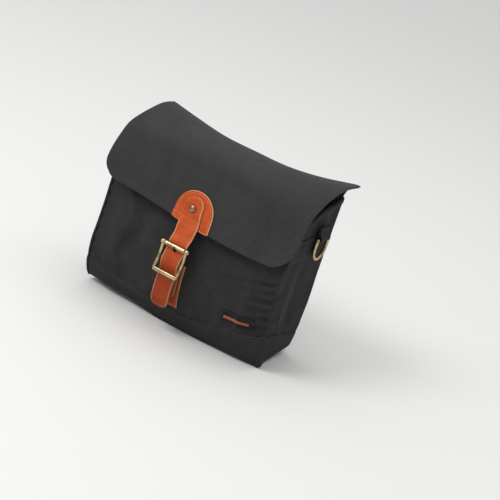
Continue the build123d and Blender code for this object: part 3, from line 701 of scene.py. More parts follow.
# very dark leather colour, painted shade inside the prong's hole
HOLE_SHADE = leather("painted_hole_shade", (0.05, 0.014, 0.006), edge_color=(0.06, 0.02, 0.01), rough=0.8)
BRASS = metal("antique_brass", (0.55, 0.43, 0.25), dark=(0.20, 0.14, 0.07), rough=0.23,
              patina=0.6)
BRASS_DARK = metal("antique_brass_dark", (0.40, 0.24, 0.13), dark=(0.09, 0.05, 0.025),
                   rough=0.26)
# much darker brass, used for the buckle's prong
BRASS_DARKEST = metal("antique_brass_darkest", (0.20, 0.13, 0.07), dark=(0.06, 0.035, 0.02),
                   rough=0.36)
STEEL = metal("plated_steel", (0.62, 0.61, 0.58), dark=(0.40, 0.39, 0.36), rough=0.28,
              patina=0.2)
CREAM = thread("cream_thread", (0.72, 0.36, 0.18))
BLACK = thread("black_thread", (0.024, 0.024, 0.025))
GREY = thread("grey_thread", (0.052, 0.052, 0.054))
RED = thread("red_thread", (0.40, 0.072, 0.040))


# ---------------------------------------------------------------- the body's soft outline
def front_profile():
    """(z, y) of the frame's front panel: its foremost point near each of many levels."""
    points = mesh_points(frame["nodes"]["front_panel"].data)
    found = []
    for level in np.arange(3.0, RIM_Z + 0.1, 3.0):
        near = points[np.abs(points[:, 2] - level) < 4.0]
        if len(near):
            found.append(near[np.argsort(near[:, 1])[0]])
    found = np.array(found)
    found = found[np.argsort(found[:, 2])]
    return found[:, 2], found[:, 1]


FRONT_Z, FRONT_Y = front_profile()

# front seams, (z, y)
RIGHT_SEAM = [(-6, -34), (6, -41), (20, -46.5), (46, -50), (78, -57), (104, -61.5),
              (124, -63.5), (150, -60.0), (176, -51.5), (205, -37)]
LEFT_SEAM = [(-6, -33), (6, -42), (20, -51), (40, -56), (61, -57), (80, -54.5), (112, -51.5),
             (139, -50.5), (160, -50.5), (180, -49), (205, -45)]
# where the back meets the gussets, (z, y)
BACK_EDGE = [(-6, 37), (8, 46.5), (20, 51), (40, 54), (58, 53), (80, 54.5), (127, 52.0),
             (178, 52.5), (232, 54)]
# upper edge of the base panel, (x, z)
BASE_SEAM = [(-142, 35.5), (-100, 33), (-50, 28.5), (0, 26), (40, 28), (80, 34.5),
             (115, 42), (142, 48)]
# lower edge of the front, (x, z)
FRONT_FOOT = [(-140, 7.0), (-98, 8.5), (-52, 5.5), (-8, 0.8), (50, 1.2), (105, 3.4), (140, 0.4)]
# lower and upper edges of each gusset, (share from back to front, z)
GUSSET_FOOT = {1: [(0, 10), (0.45, 6.5), (1.0, 1.2)], -1: [(0, 10), (0.5, 7.5), (1.0, 7.0)]}
GUSSET_RIM = {
    1: [(0, BACK_TOP - 1.5), (0.13, 228.5), (0.24, 224.5), (0.42, 223.5), (0.75, 215),
        (1.0, RIM_Z + 1)],
    -1: [(0, BACK_TOP + 3.5), (0.14, 242.5), (0.4, 242), (0.75, 236), (1.0, RIM_Z + 16)],
}
# folds of the front panel, in the columns of hanging_folds, pivoting at z = 90
FRONT_FOLD_PIVOT = 90
FRONT_FOLDS = [(1.6, -98, 0.22, 11.0, 45, 90), (-1.5, -76, 0.20, 10.0, 50, 90),
               (0.9, -52, 0.10, 9.0, 60, 100), (-1.0, 66, -0.15, 13.0, 60, 110)]


def base_seam_z(x):
    return lookup(x, BASE_SEAM)


def front_y(x, z):
    """Outer surface of the soft front panel before creases."""
    centre = np.interp(np.clip(z, 3, RIM_Z), FRONT_Z, FRONT_Y)
    seam = lookup(z, RIGHT_SEAM if x > 0 else LEFT_SEAM)
    share = np.abs(x) / HALF_BODY
    weight = 0.55 * share ** 2.4 + 0.45 * smooth(0.72, 1.0, share)
    return centre * (1 - weight) + seam * weight


def front_folds(x, z):
    """Creases of the front panel, positive outward."""
    out = np.zeros(x.shape)
    # puckers gathered into the right seam
    right = HALF_BODY - x
    wavy = (np.sin(2 * math.pi * (z + 0.30 * right - 4) / 12.5)
            + 0.55 * np.sin(2 * math.pi * (z - 0.1 * right) / 21.0 + 1.1))
    out += (3.2 * wavy * np.exp(-np.clip(right, 0, None) / 24.0) * smooth(36, 60, z)
            * fade(118, 145, z) * smooth(0, 3.5, right))
    # two longer creases running in from the right seam
    out += 1.5 * ridge(z - 78 + 0.33 * right, 7.5) * np.exp(-right / 70.0) * smooth(2, 14, right)
    out -= 1.2 * ridge(z - 62 + 0.25 * right, 6.0) * np.exp(-right / 60.0) * smooth(2, 14, right)
    # lighter puckers along the left seam
    left = HALF_BODY + x
    wavy = np.sin(2 * math.pi * (z - 0.3 * left) / 17.0 + 0.6)
    out += (0.8 * wavy * np.exp(-np.clip(left, 0, None) / 22.0) * smooth(30, 50, z)
            * fade(130, 160, z) * smooth(0, 3.5, left))
    out += hanging_folds(FRONT_FOLDS, x, z, FRONT_FOLD_PIVOT)
    # gathering just above the base seam
    above = z - base_seam_z(x)
    out += (0.55 * np.sin(2 * math.pi * x / 19.0 + 2.0 * np.sin(x / 33.0))
            * np.exp(-np.clip(above, 0, None) / 9.0) * smooth(0.6, 4, above))
    # the stiff label holds the cloth flat behind it
    behind_label = smooth(66, 80, x) * fade(122, 130, x) * smooth(40, 48, z) * fade(70, 78, z)
    out *= 1 - 0.7 * behind_label
    # the middle, under the leather strip, stays calm
    return out * smooth(14, 40, np.abs(x))


def half_width(z):
    """Half the body's width, a little narrower towards the base."""
    return HALF_BODY - 3.0 * fade(0.0, 70.0, z)


def gusset_x(side, z, share, up):
    """Outer x of a gusset; share runs 0 at the back to 1 at the front, up 0 to 1."""
    out = 1.6 * np.sin(math.pi * share) * (0.3 + 0.7 * np.sin(math.pi * np.clip(up, 0, 1)))
    # two standing pleats
    out = out - (2.2 * ridge(share - 0.46 - 0.10 * (up - 0.5), 0.085) * smooth(0.08, 0.3, up)
                 * fade(0.55, 0.72, up))
    out = out + (1.2 * ridge(share - 0.70 + 0.12 * (up - 0.4), 0.07) * smooth(0.1, 0.3, up)
                 * fade(0.5, 0.7, up))
    # puckers along the front and back seams
    out = out + (0.9 * np.sin(2 * math.pi * (z + 6 * share) / 17.0)
                 * np.exp(-(1 - share) / 0.14) * smooth(0.1, 0.25, up) * fade(0.5, 0.62, up)
                 * smooth(0.0, 0.05, 1 - share))
    out = out + (0.9 * np.sin(2 * math.pi * (z - 5 * share) / 14.0 + 1.0)
                 * np.exp(-share / 0.12) * smooth(0.02, 0.12, up) * fade(0.35, 0.5, up)
                 * smooth(0.0, 0.05, share))
    # drawn in along the band's lower edge
    out = out - 0.7 * ridge(z - 151, 2.0)
    # the right gusset's front foot stands out as a small ear
    ear = 4.5 * ridge(z, 13.0) * ridge(1 - share, 0.16) if side > 0 else 0.0
    return side * (half_width(z) + out + ear)


# the grid: rows from the base edge to the rim, columns right round from the middle of the
# back by way of the right gusset, the front and the left gusset
BACK_COLS, GUSSET_COLS, FRONT_COLS = 38, 26, 76
RIGHT_BACK = BACK_COLS
RIGHT_FRONT = RIGHT_BACK + GUSSET_COLS
LEFT_FRONT = RIGHT_FRONT + FRONT_COLS
LEFT_BACK = LEFT_FRONT + GUSSET_COLS
COL_COUNT = LEFT_BACK + BACK_COLS
CORNER_COLS = (RIGHT_FRONT, LEFT_FRONT, RIGHT_BACK, LEFT_BACK)
IS_FRONT = (np.arange(COL_COUNT) >= RIGHT_FRONT) & (np.arange(COL_COUNT) < LEFT_FRONT)
IS_BACK = (np.arange(COL_COUNT) < RIGHT_BACK) | (np.arange(COL_COUNT) >= LEFT_BACK)
# row heights as shares: base edge to base seam, then base seam to rim
LOW_SHARES = np.concatenate([np.linspace(0, 1, 9)[:-1] ** 0.8, [0.965, 1.0]])
HIGH_SHARES = np.concatenate([[0.004], np.linspace(0.018, 1, 50)])
SEAM_ROW = len(LOW_SHARES) - 1
ROW_COUNT = len(LOW_SHARES) + len(HIGH_SHARES)
GRID_COUNT = ROW_COUNT * COL_COUNT


def row_heights(low, seam, top):
    return np.concatenate([low + (seam - low) * LOW_SHARES, seam + (top - seam) * HIGH_SHARES])


def column_points(x, y, z):
    return np.stack(np.broadcast_arrays(x, y, z), 1)


def back_column(x):
    share = abs(x) / HALF_BODY
    crest = 8.0 * smooth(0.45, 0.84, share) * (1 - 0.9 * smooth(0.86, 1.0, share))
    z = row_heights(2.0 + 8.0 * smooth(0.55, 1.0, share), base_seam_z(x),
                    BACK_TOP - 0.5 + crest)
    weight = smooth(0.80, 1.0, share)
    y = (BACK_Y - 0.2) * (1 - weight) + lookup(z, BACK_EDGE) * weight
    return column_points(x * half_width(z) / HALF_BODY, y, z)


def gusset_column(side, share):
    low, top = lookup(share, GUSSET_FOOT[side]), lookup(share, GUSSET_RIM[side])
    seam = 30.0 + (base_seam_z(side * HALF_BODY) - 30.0) * smooth(0.0, 1.0, share)
    z = row_heights(low, seam, top)
    back = lookup(z, BACK_EDGE)
    y = back + (lookup(z, RIGHT_SEAM if side > 0 else LEFT_SEAM) - back) * share
    return column_points(gusset_x(side, z, share, (z - low) / (top - low)), y, z)


def front_column(share):
    # denser near both seams
    eased = 0.35 * share + 0.65 * (0.5 - 0.5 * math.cos(math.pi * share))
    x = HALF_BODY - 2 * HALF_BODY * eased
    top = RIM_Z + 1 * smooth(120, 140, x) + 16 * smooth(-92, -140, x)
    z = row_heights(lookup(x, FRONT_FOOT), base_seam_z(x), top)
    return column_points(x * half_width(z) / HALF_BODY, front_y(x, z), z)


BODY = np.stack(
    [back_column(HALF_BODY * (k / BACK_COLS)) for k in range(BACK_COLS)]
    + [gusset_column(1, k / GUSSET_COLS) for k in range(GUSSET_COLS)]
    + [front_column(k / FRONT_COLS) for k in range(FRONT_COLS)]
    + [gusset_column(-1, 1 - k / GUSSET_COLS) for k in range(GUSSET_COLS)]
    + [back_column(-HALF_BODY * (1 - k / BACK_COLS)) for k in range(BACK_COLS)], axis=1)


def body_normals(grid):
    wrapped = np.concatenate([grid[:, -2:], grid, grid[:, :2]], 1)
    facing = normals(wrapped)[:, 2:-2]
    if facing[ROW_COUNT // 2, (RIGHT_FRONT + LEFT_FRONT - 1) // 2, 1] > 0:
        facing = -facing
    return facing


def body_mesh(name, grid, material):
    """The wall grid, closed underneath by a patch between its front, back and side edges."""
    front = [RIGHT_FRONT + k for k in range(FRONT_COLS + 1)]
    back = [(RIGHT_BACK - k) % COL_COUNT for k in range(FRONT_COLS + 1)]
    right = [RIGHT_BACK + k for k in range(GUSSET_COLS + 1)]
    left = [LEFT_BACK - k for k in range(GUSSET_COLS + 1)]
    near, far = grid[0, back], grid[0, front]
    start, end = grid[0, right], grid[0, left]
    u = np.linspace(0, 1, len(right))[:, None, None]
    v = np.linspace(0, 1, len(front))[None, :, None]
    base = ((1 - u) * near[None] + u * far[None] + (1 - v) * start[:, None] + v * end[:, None]
            - ((1 - u) * (1 - v) * start[0] + (1 - u) * v * end[0]
               + u * (1 - v) * start[-1] + u * v * end[-1]))
    # the middle of the base rests 0.9 mm above the ground
    drop = (np.sin(np.pi * u[..., 0]) ** 0.7) * (np.sin(np.pi * v[..., 0]) ** 0.7)
    base[..., 2] = base[..., 2] * (1 - drop) + 0.9 * drop
    inside = base[1:-1, 1:-1]
    ids = np.zeros(base.shape[:2], int)
    ids[0], ids[-1] = back, front
    ids[:, 0], ids[:, -1] = right, left
    ids[1:-1, 1:-1] = GRID_COUNT + np.arange(inside[..., 0].size).reshape(inside.shape[:2])
    verts = np.vstack([grid.reshape(-1, 3), inside.reshape(-1, 3)])
    faces = sleeve_faces(ROW_COUNT, COL_COUNT, caps=False) + quads(ids)
    uv = np.zeros((len(verts), 2))
    uv[:GRID_COUNT, 0] = np.tile(arc_length(grid[ROW_COUNT // 2]), ROW_COUNT)
    uv[:GRID_COUNT, 1] = grid[..., 2].ravel()
    uv[GRID_COUNT:, 0] = verts[GRID_COUNT:, 0] + 500
    uv[GRID_COUNT:, 1] = verts[GRID_COUNT:, 1]
    return make_mesh(name, verts, faces, material, uv)


def columns_from(column):
    offset = np.abs(np.arange(COL_COUNT) - column)
    return np.minimum(offset, COL_COUNT - offset)


# creases and low swells, held at the seams and calm on the back, base and middle front
REST_X = np.abs(BODY[..., 0])
NORMALS = body_normals(BODY)
swells = cloud(np.tile(np.arange(COL_COUNT) * 4.2, (ROW_COUNT, 1)), BODY[..., 2],
               scale=46.0, seed=3, octaves=2)
creased = slice(RIGHT_FRONT + 1, LEFT_FRONT)
BODY[:, creased] += NORMALS[:, creased] * front_folds(BODY[:, creased, 0],
                                                      BODY[:, creased, 2])[..., None]
free = np.ones((ROW_COUNT, COL_COUNT))
for corner in CORNER_COLS:
    free *= smooth(0, 5, columns_from(corner))[None]
free[:SEAM_ROW + 2] *= 0.35
softness = np.where(IS_BACK, 0.35, 1.0)[None]
off_middle = 1 - fade(16, 34, REST_X) * IS_FRONT[None]
BODY += NORMALS * (swells * 1.5 * free * softness * off_middle)[..., None]


def settle(shell):
    """Lets the cloth settle between its pinned seams under light pressure."""
    pins = np.zeros((ROW_COUNT, COL_COUNT))
    for corner in CORNER_COLS:
        pins = np.maximum(pins, fade(0, 1.5, columns_from(corner))[None])
    pins[:, IS_BACK] = 1.0
    pins[:SEAM_ROW + 1] = 1.0
    pins[-2:] = 1.0
    pins = np.maximum(pins, fade(14, 24, REST_X) * IS_FRONT[None])
    weights = np.ones(len(shell.data.vertices))
    weights[:GRID_COUNT] = pins.ravel()
    group = shell.vertex_groups.new(name="pin")
    for i, weight in enumerate(weights):
        if weight > 0.01:
            group.add([i], float(weight), "REPLACE")
    modifier = shell.modifiers.new("cloth", "CLOTH")
    settings = dict(quality=6, mass=0.25, tension_stiffness=25, compression_stiffness=18,
                    shear_stiffness=8, bending_stiffness=0.9, use_pressure=True,
                    uniform_pressure_force=3.0, vertex_group_mass="pin", shrink_min=-0.022)
    for key, value in settings.items():
        setattr(modifier.settings, key, value)
    modifier.settings.effector_weights.gravity = 0.0
    modifier.collision_settings.use_collision = False
    modifier.collision_settings.use_self_collision = False
    first, last = 1, 18
    modifier.point_cache.frame_start = first
    modifier.point_cache.frame_end = last
    scene = bpy.context.scene
    for number in range(first, last + 1):
        scene.frame_set(number)
    settled = shell.evaluated_get(bpy.context.evaluated_depsgraph_get())
    rest = mesh_points(shell.data)
    moved = mesh_points(settled.data) - rest
    length = np.linalg.norm(moved, axis=1, keepdims=True)
    # no point moves further than this
    cap = 3.2
    moved *= np.minimum(1, cap * np.tanh(length / cap) / np.maximum(length, 1e-6))
    moved[~np.isfinite(moved).all(1)] = 0
    shell.modifiers.remove(modifier)
    points = rest + moved
    set_points(shell.data, points)
    scene.frame_set(first)
    return points[:GRID_COUNT].reshape(ROW_COUNT, COL_COUNT, 3)


shell = body_mesh("bag_shell", BODY, BODY_CLOTH)
BODY = settle(shell)
NORMALS = body_normals(BODY)

# the base panel laps over the walls with a small step, and the cloth is pulled in above it
step = np.zeros((ROW_COUNT, COL_COUNT))
step[:SEAM_ROW] = 0.8
step[SEAM_ROW] = 0.55
step[0] = 0.4
step[:, IS_BACK] *= 0.4
step[SEAM_ROW + 1] = -0.5
step[SEAM_ROW + 2] = -0.25
BODY = BODY + NORMALS * step[..., None]
shell_points = mesh_points(shell.data)
shell_points[:GRID_COUNT] = BODY.reshape(-1, 3)
set_points(shell.data, shell_points)
outward(shell)
NORMALS = body_normals(BODY)
SHELL_THICKNESS = 1.6
solidify(shell, SHELL_THICKNESS)
place(shell, "bag_body", "body_cloth",
      "front_panel", "back_panel", "gusset_left", "gusset_right", "base_panel")


def lining_bag():
    """Inner bag: the shell's grid smoothed and moved inward."""
    grid, facing = BODY.copy(), NORMALS.copy()
    for _ in range(5):
        for values in (grid, facing):
            values[:] = (np.roll(values, 1, 1) + 2 * values + np.roll(values, -1, 1)) / 4
            values[1:-1] = (values[:-2] + 2 * values[1:-1] + values[2:]) / 4
    grid = grid - unit(facing) * 3.4
    grid[-1, :, 2] -= 2.0
    grid[0, :, 2] += 3.0
    lining = body_mesh("lining_bag", grid, LINING_CLOTH)
    points = mesh_points(lining.data)
    points[GRID_COUNT:, 2] += 3.2
    set_points(lining.data, points)
    outward(lining)
    solidify(lining, 0.9)
    place(lining, "bag_body", "lining_cloth", "lining", "back_board", "base_board")


def rim_binding():
    """Tape folded over the whole top edge."""
    path = BODY[-1] - NORMALS[-1] * SHELL_THICKNESS
    out = NORMALS[-1].copy()
    out[:, 2] = 0
    out = unit(out)
    # section as (up, outward)
    section = superellipse(18, powers=(0.6, 0.7), sizes=(5.0, 2.6)) + [-3.6, 0]
    up = np.array([0, 0, 1.0])
    verts = np.vstack([path[i] + up * section[:, :1] + out[i] * section[:, 1:]
                       for i in range(len(path))])
    uv = [(a + 50, along) for along in arc_length(path) for a, _ in section]
    faces = sleeve_faces(len(path), len(section), closed=True)
    binding = outward(make_mesh("rim_binding_tape", verts, faces, TAPE, uv))
    place(binding, "bag_body", "tape", "rim_binding")


def seam_piping(name, side, column):
    path = np.array([point for point in BODY[:-1, column] if point[2] < 190])
    for _ in range(2):
        path[1:-1] = (path[:-2] + 2 * path[1:-1] + path[2:]) / 4
    path = path + np.array([side * 0.75, -0.65, 0.0]) * 0.35
    radii = np.full(len(path), 1.9)
    radii[0] *= 0.7
    piping = tube("seam_piping_" + name, path, radii, BODY_CLOTH, up=(0, -1, 0), sides=10)
    place(piping, "bag_body", "piping", "front_piping_" + name)


lining_bag()
rim_binding()
seam_piping("right", 1, RIGHT_FRONT)
seam_piping("left", -1, LEFT_FRONT)

# ---------------------------------------------------------------- places on the body
FRONT_XS = BODY[ROW_COUNT // 2, RIGHT_FRONT:LEFT_FRONT + 1, 0]


def grid_at(grid, column, row):
    """Value of the grid at fractional column and row, columns wrapping."""
    col0, row0 = math.floor(column), min(math.floor(row), ROW_COUNT - 2)
    across, up = column - col0, row - row0
    col0, col1 = col0 % COL_COUNT, (col0 + 1) % COL_COUNT
    return ((grid[row0, col0] * (1 - across) + grid[row0, col1] * across) * (1 - up)
            + (grid[row0 + 1, col0] * (1 - across) + grid[row0 + 1, col1] * across) * up)


def row_for(column, z):
    levels = [grid_at(BODY, column, i)[2] for i in range(ROW_COUNT - 1)]
    levels.append(BODY[-1, round(column) % COL_COUNT][2])
    row = np.interp(z, levels, np.arange(ROW_COUNT))
    return float(np.clip(row, 0, ROW_COUNT - 1.001))


def body_at(column, z, lift):
    row = row_for(column, z)
    normal = unit(grid_at(NORMALS, column, row))
    return grid_at(BODY, column, row) + normal * lift, normal


def front_at(x, z, lift=0.0):
    """Point and normal on the front panel."""
    column = float(np.interp(-x, -FRONT_XS, np.arange(len(FRONT_XS)))) + RIGHT_FRONT
    return body_at(column, z, lift)


def gusset_at(side, share, z, lift):
    """Point and normal on a gusset, share 0 at the back to 1 at the front seam."""
    if side > 0:
        column = RIGHT_BACK + share * (RIGHT_FRONT - RIGHT_BACK)
    else:
        column = LEFT_BACK - share * (LEFT_BACK - LEFT_FRONT)
    return body_at(column, z, lift)


def shell_stitching():
    """Topstitching beside the front seams, and a double row below the base seam."""
    rows = []
    for column in (RIGHT_FRONT + 2.6, LEFT_FRONT - 2.6):
        line = [(grid_at(BODY, column, i), grid_at(NORMALS, column, i))
                for i in np.linspace(SEAM_ROW + 2, row_for(column, 196), 160)]
        rows.append(stitches("seam_row", line, BLACK, length=2.5, gap=1.2, radius=0.24,
                             lift=0.05))
    for below in (1.6, 6.2):
        line = [front_at(x, float(base_seam_z(x)) - below) for x in np.linspace(-137, 137, 140)]
        rows.append(stitches("base_row", line, GREY, length=2.5, gap=1.4, radius=0.22,
                             lift=0.02))
    place(join("shell_stitching", rows), "bag_body", "piping")


shell_stitching()

# ---------------------------------------------------------------- label, low on the right
LABEL_X = (78.0, 124.0)
LABEL_Z = (46.3, 65.8)
LABEL_RISE = 3.0    # its right end sits this much higher


def on_label(across, up, lift=1.2):
    x = LABEL_X[0] + (LABEL_X[1] - LABEL_X[0]) * across
    z = LABEL_Z[0] + (LABEL_Z[1] - LABEL_Z[0]) * up + LABEL_RISE * across
    return front_at(x, z, lift)


def woven_label():
    sheet, facing = sheet_grid(np.arange(9) / 8, np.arange(26) / 25,
                               lambda up, across: on_label(across, up, 1.15))
    place(slab("woven_label_patch", sheet, facing, 1.0, LABEL_CLOTH),
          "bag_body", "label_cloth", "woven_label")
    margin_x, margin_z = 0.03, 0.08
    left, right, low, high = margin_x, 1 - margin_x, margin_z, 1 - margin_z
    rows = []
    for start, end in (((left, low), (right, low)), ((left, high), (right, high)),
                       ((left, low), (left, high)), ((right, low), (right, high))):
        line = [on_label(start[0] + (end[0] - start[0]) * share,
                         start[1] + (end[1] - start[1]) * share)
                for share in np.linspace(0, 1, 40)]
        rows.append(stitches("label_row", line, GREY, length=1.7, gap=0.7, radius=0.2,
                             lift=0.02))
    border = join("label_border_stitch", rows)
    sheet, facing = sheet_grid(0.40 + 0.20 * np.arange(4) / 3, 0.10 + 0.75 * np.arange(20) / 19,
                               lambda up, across: on_label(across, up, 1.42))
    bar = slab("label_plain_bar", sheet, facing, 0.4, RED)
    for piece in (border, bar):
        place(piece, "bag_body", "label_cloth")


woven_label()

# ---------------------------------------------------------------- gusset bands, tabs, rings
BAND_LOW, BAND_HIGH = 151.5, 183.5
BAND_INSET = 1.7
WIRE = 2.2          # radius of the D ring's bar
RING_CORNER = 3.0
TAB_THICKNESS = 1.4
TAB_TOP = 196.6


def gusset_band(name, side):
    sheet, facing = sheet_grid(
        BAND_LOW + (BAND_HIGH - BAND_LOW) * np.arange(13) / 12, 0.015 + 0.965 * np.arange(26) / 25,
        lambda z, share: gusset_at(side, share, z, 1.25))
    place(slab("gusset_band_cloth_" + name, sheet, facing, 1.1, BODY_CLOTH),
          "bag_body", "tape", "gusset_band_" + name)
    rows = []
    for z in (BAND_LOW + BAND_INSET, BAND_HIGH - BAND_INSET):
        line = [gusset_at(side, share, z, 1.3) for share in np.linspace(0.03, 0.96, 60)]
        rows.append(stitches("band_row", line, GREY, length=2.5, gap=1.2, radius=0.24,
                             lift=0.02))
    place(join("gusset_band_stitch_" + name, rows), "bag_body", "tape")


def ring_tab(name, side, centre):
    """Webbing folded round the ring's straight bar, with a leg hanging behind it."""
    low, high = box_mm("ring_tab_" + name)
    half = (high[1] - low[1]) / 2 - 0.3
    ring_x, ring_y, ring_z = centre
    inside = WIRE + 0.15
    middle = inside + TAB_THICKNESS / 2
    inner_x = ring_x - side * middle
    outer_x = inner_x + side * (TAB_THICKNESS + 0.1)
    outline = [(inner_x, TAB_TOP), (inner_x, 193), (inner_x, 188)]
    outline += [(ring_x + side * x, z) for x, z in
                arc(0, ring_z, middle, (180, 205, 230, 255, 280, 305, 330, 355, 15))]
    outline += [(ring_x + side * (inside + 0.2), ring_z + 3.4), (outer_x + side * 1.6, ring_z + 7.0),
                (outer_x + side * 0.3, ring_z + 10.5), (outer_x, ring_z + 13.0),
                (outer_x, TAB_TOP)]
    path = curve([(x, ring_y, z) for x, z in outline], 90)
    across = (0, 1, 0)
    tab = strap_loft("ring_tab_webbing_" + name, path, np.full(len(path), half), TAB_THICKNESS,
                     BODY_CLOTH, path_normals(path, across), across)
    leg_z = np.concatenate([low[2] + np.array([0.2, 0.5, 1.1, 2.0, 3.2]),
                            np.linspace(low[2] + 5, ring_z - 0.5, 16)])
    leg = strap_loft("ring_tab_leg_" + name, np.array([(inner_x, ring_y, z) for z in leg_z]),
                     [round_end(half, 3.0, z - low[2]) for z in leg_z], TAB_THICKNESS, TAB_WEB,
                     np.tile(np.array([side, 0.0, 0.0]), (len(leg_z), 1)), across)
    place(leg, "bag_body", "tape")
    place(tab, "bag_body", "tape", "ring_tab_" + name)
    stitch_x = outer_x + side * (TAB_THICKNESS / 2 + 0.05)
    line = [((stitch_x, ring_y + y, 195.2), (side, 0, 0))
            for y in np.linspace(-half + 1.5, half - 1.5, 12)]
    place(stitches("ring_tab_stitch_" + name, line, BLACK, length=2.2, gap=0.9, radius=0.26,
                   lift=0.12), "bag_body", "tape")


def d_ring(name, centre):
    """Round bar bent to a D: the straight side on top, the bow below."""
    low, high = box_mm("d_ring_" + name)
    ring_x, y, top = centre
    half = (high[1] - low[1]) / 2 - WIRE
    bow_z = low[2] + WIRE + half
    shoulder = top - RING_CORNER
    corner_y = half - RING_CORNER
    outline = [(y + across, top) for across in np.linspace(-corner_y, corner_y, 8)]
    outline += arc(y + corner_y, shoulder, RING_CORNER, np.linspace(90, 0, 6)[1:])
    outline += [(y + half, z) for z in np.linspace(shoulder, bow_z, 5)[1:]]
    outline += arc(y, bow_z, half, np.linspace(0, -180, 25)[1:])
    outline += [(y - half, z) for z in np.linspace(bow_z, shoulder, 5)[1:]]
    outline += arc(y - corner_y, shoulder, RING_CORNER, np.linspace(180, 90, 6)[1:-1])
    ring = tube("d_ring_cast_" + name, [(ring_x, *point) for point in outline], WIRE - 0.03,
                BRASS, up=(1, 0, 0), sides=16, closed=True)
    place(ring, "ring_" + name, "brass", "d_ring_" + name)


for name, side in (("right", 1), ("left", -1)):
    centre = joint_mm("ring_%s_swing" % name)
    gusset_band(name, side)
    ring_tab(name, side, centre)
    d_ring(name, centre)

# ---------------------------------------------------------------- flap
# sections across the flap: x, then (y, z) from the rear edge over the top and down the
# front to the lower edge; the fifth point is the fold between top and drop
FLAP_SECTIONS = [
    (-144, [(63, 248), (36, 249.5), (6, 246), (-22, 240), (-45, 230.5), (-57, 215),
            (-66, 199), (-72.5, 182), (-76, 161)]),
    (-100, [(57, 243), (34, 246), (6, 245), (-22, 240.5), (-46, 231.5), (-56, 214),
            (-64, 196), (-71, 178), (-76.5, 160)]),
    (-50, [(54.5, 237.2), (34, 242), (6, 243.5), (-22, 240.5), (-46.5, 232), (-54.5, 214),
           (-62, 194), (-69.5, 173), (-76.5, 156)]),
    (0, [(53.8, 236.8), (34, 240.5), (8, 242.2), (-20, 240.2), (-46.2, 232.4), (-54.0, 216),
         (-60.6, 197), (-68.4, 172), (-76.4, 150.6)]),
    (50, [(54.2, 237.2), (34, 241), (8, 241.5), (-20, 238.5), (-45.5, 230.5), (-54, 213),
          (-61, 193), (-69, 170), (-76.5, 148.2)]),
    (95, [(58, 242), (35, 243), (8, 240), (-18, 234.5), (-42, 226), (-52, 209), (-59, 189),
          (-68, 167), (-75.5, 148)]),
    (144, [(73, 249.5), (44, 249), (14, 241), (-12, 231), (-34, 219), (-44, 204), (-52, 187),
           (-63.5, 168), (-72.5, 149.5)]),
]
FOLD_POINT = 4
TOP_ROWS, DROP_ROWS = 34, 40
# folds of the drop, in the columns of hanging_folds; the level counts down the flap's rows
FLAP_FOLD_PIVOT = 110
FLAP_FOLDS = [(1.7, -78, 0.28, 10.0, 60, 110), (-1.6, -54, 0.30, 9.0, 60, 110),
              (1.5, 70, 0.25, 12.0, 50, 120), (-1.4, 100, 0.2, 11.0, 60, 120)]
FLAP_CORNER = 27.0
FLAP_HALF = FLAP_BOX_HALF - 0.8
HEM_INSET = 7.0
EDGE_SHARES = np.array([-1, -0.996, -0.990, -0.982, -0.972, -0.96, -0.945])
FLAP_SHARES = np.concatenate([EDGE_SHARES, np.linspace(-0.93, 0.93, 75), -EDGE_SHARES[::-1]])


def section_rows(points):
    """A section resampled to the flap's rows, denser near the lower edge."""
    fine = curve(points, 600)
    along = arc_length(fine)
    fold = along[np.argmin(np.linalg.norm(fine - np.array(points[FOLD_POINT]), axis=1))]
    shares = np.concatenate([np.linspace(0, 0.86, DROP_ROWS - 14),
                             np.linspace(0.86, 1, 15)[1:]])[1:]
    spots = np.concatenate([np.linspace(0, fold, TOP_ROWS), fold + (along[-1] - fold) * shares])
    return sample(spots, along, fine)


SECTION_X = [x for x, _ in FLAP_SECTIONS]
section_table = np.array([section_rows(points) for _, points in FLAP_SECTIONS])
FLAP_ROWS = section_table.shape[1]
LAST_ROW = FLAP_ROWS - 1.001
# the sections filled in to an even spacing: x, row, (y, z)
PROFILE_X = np.linspace(-150, 150, 61)
PROFILES = np.stack([np.stack([lookup(PROFILE_X, np.column_stack((SECTION_X,
                                                                  section_table[:, row, axis])))
                               for axis in (0, 1)], -1) for row in range(FLAP_ROWS)], 1)
MIDDLE_LENGTH = arc_length(PROFILES[len(PROFILE_X) // 2])


def flap_yz(x, row):
    at = np.interp(x, PROFILE_X, np.arange(len(PROFILE_X)))
    k = min(int(at), len(PROFILE_X) - 2)
    profile = PROFILES[k] * (1 - (at - k)) + PROFILES[k + 1] * (at - k)
    i = min(int(row), FLAP_ROWS - 2)
    return profile[i] * (1 - (row - i)) + profile[i + 1] * (row - i)


def arc_left(row):
    """Distance from the lower edge along the middle section."""
    return MIDDLE_LENGTH[-1] - np.interp(row, np.arange(FLAP_ROWS), MIDDLE_LENGTH)


def row_at_arc(left):
    rows = np.arange(FLAP_ROWS)
    return float(np.interp(-left, -arc_left(rows), rows))


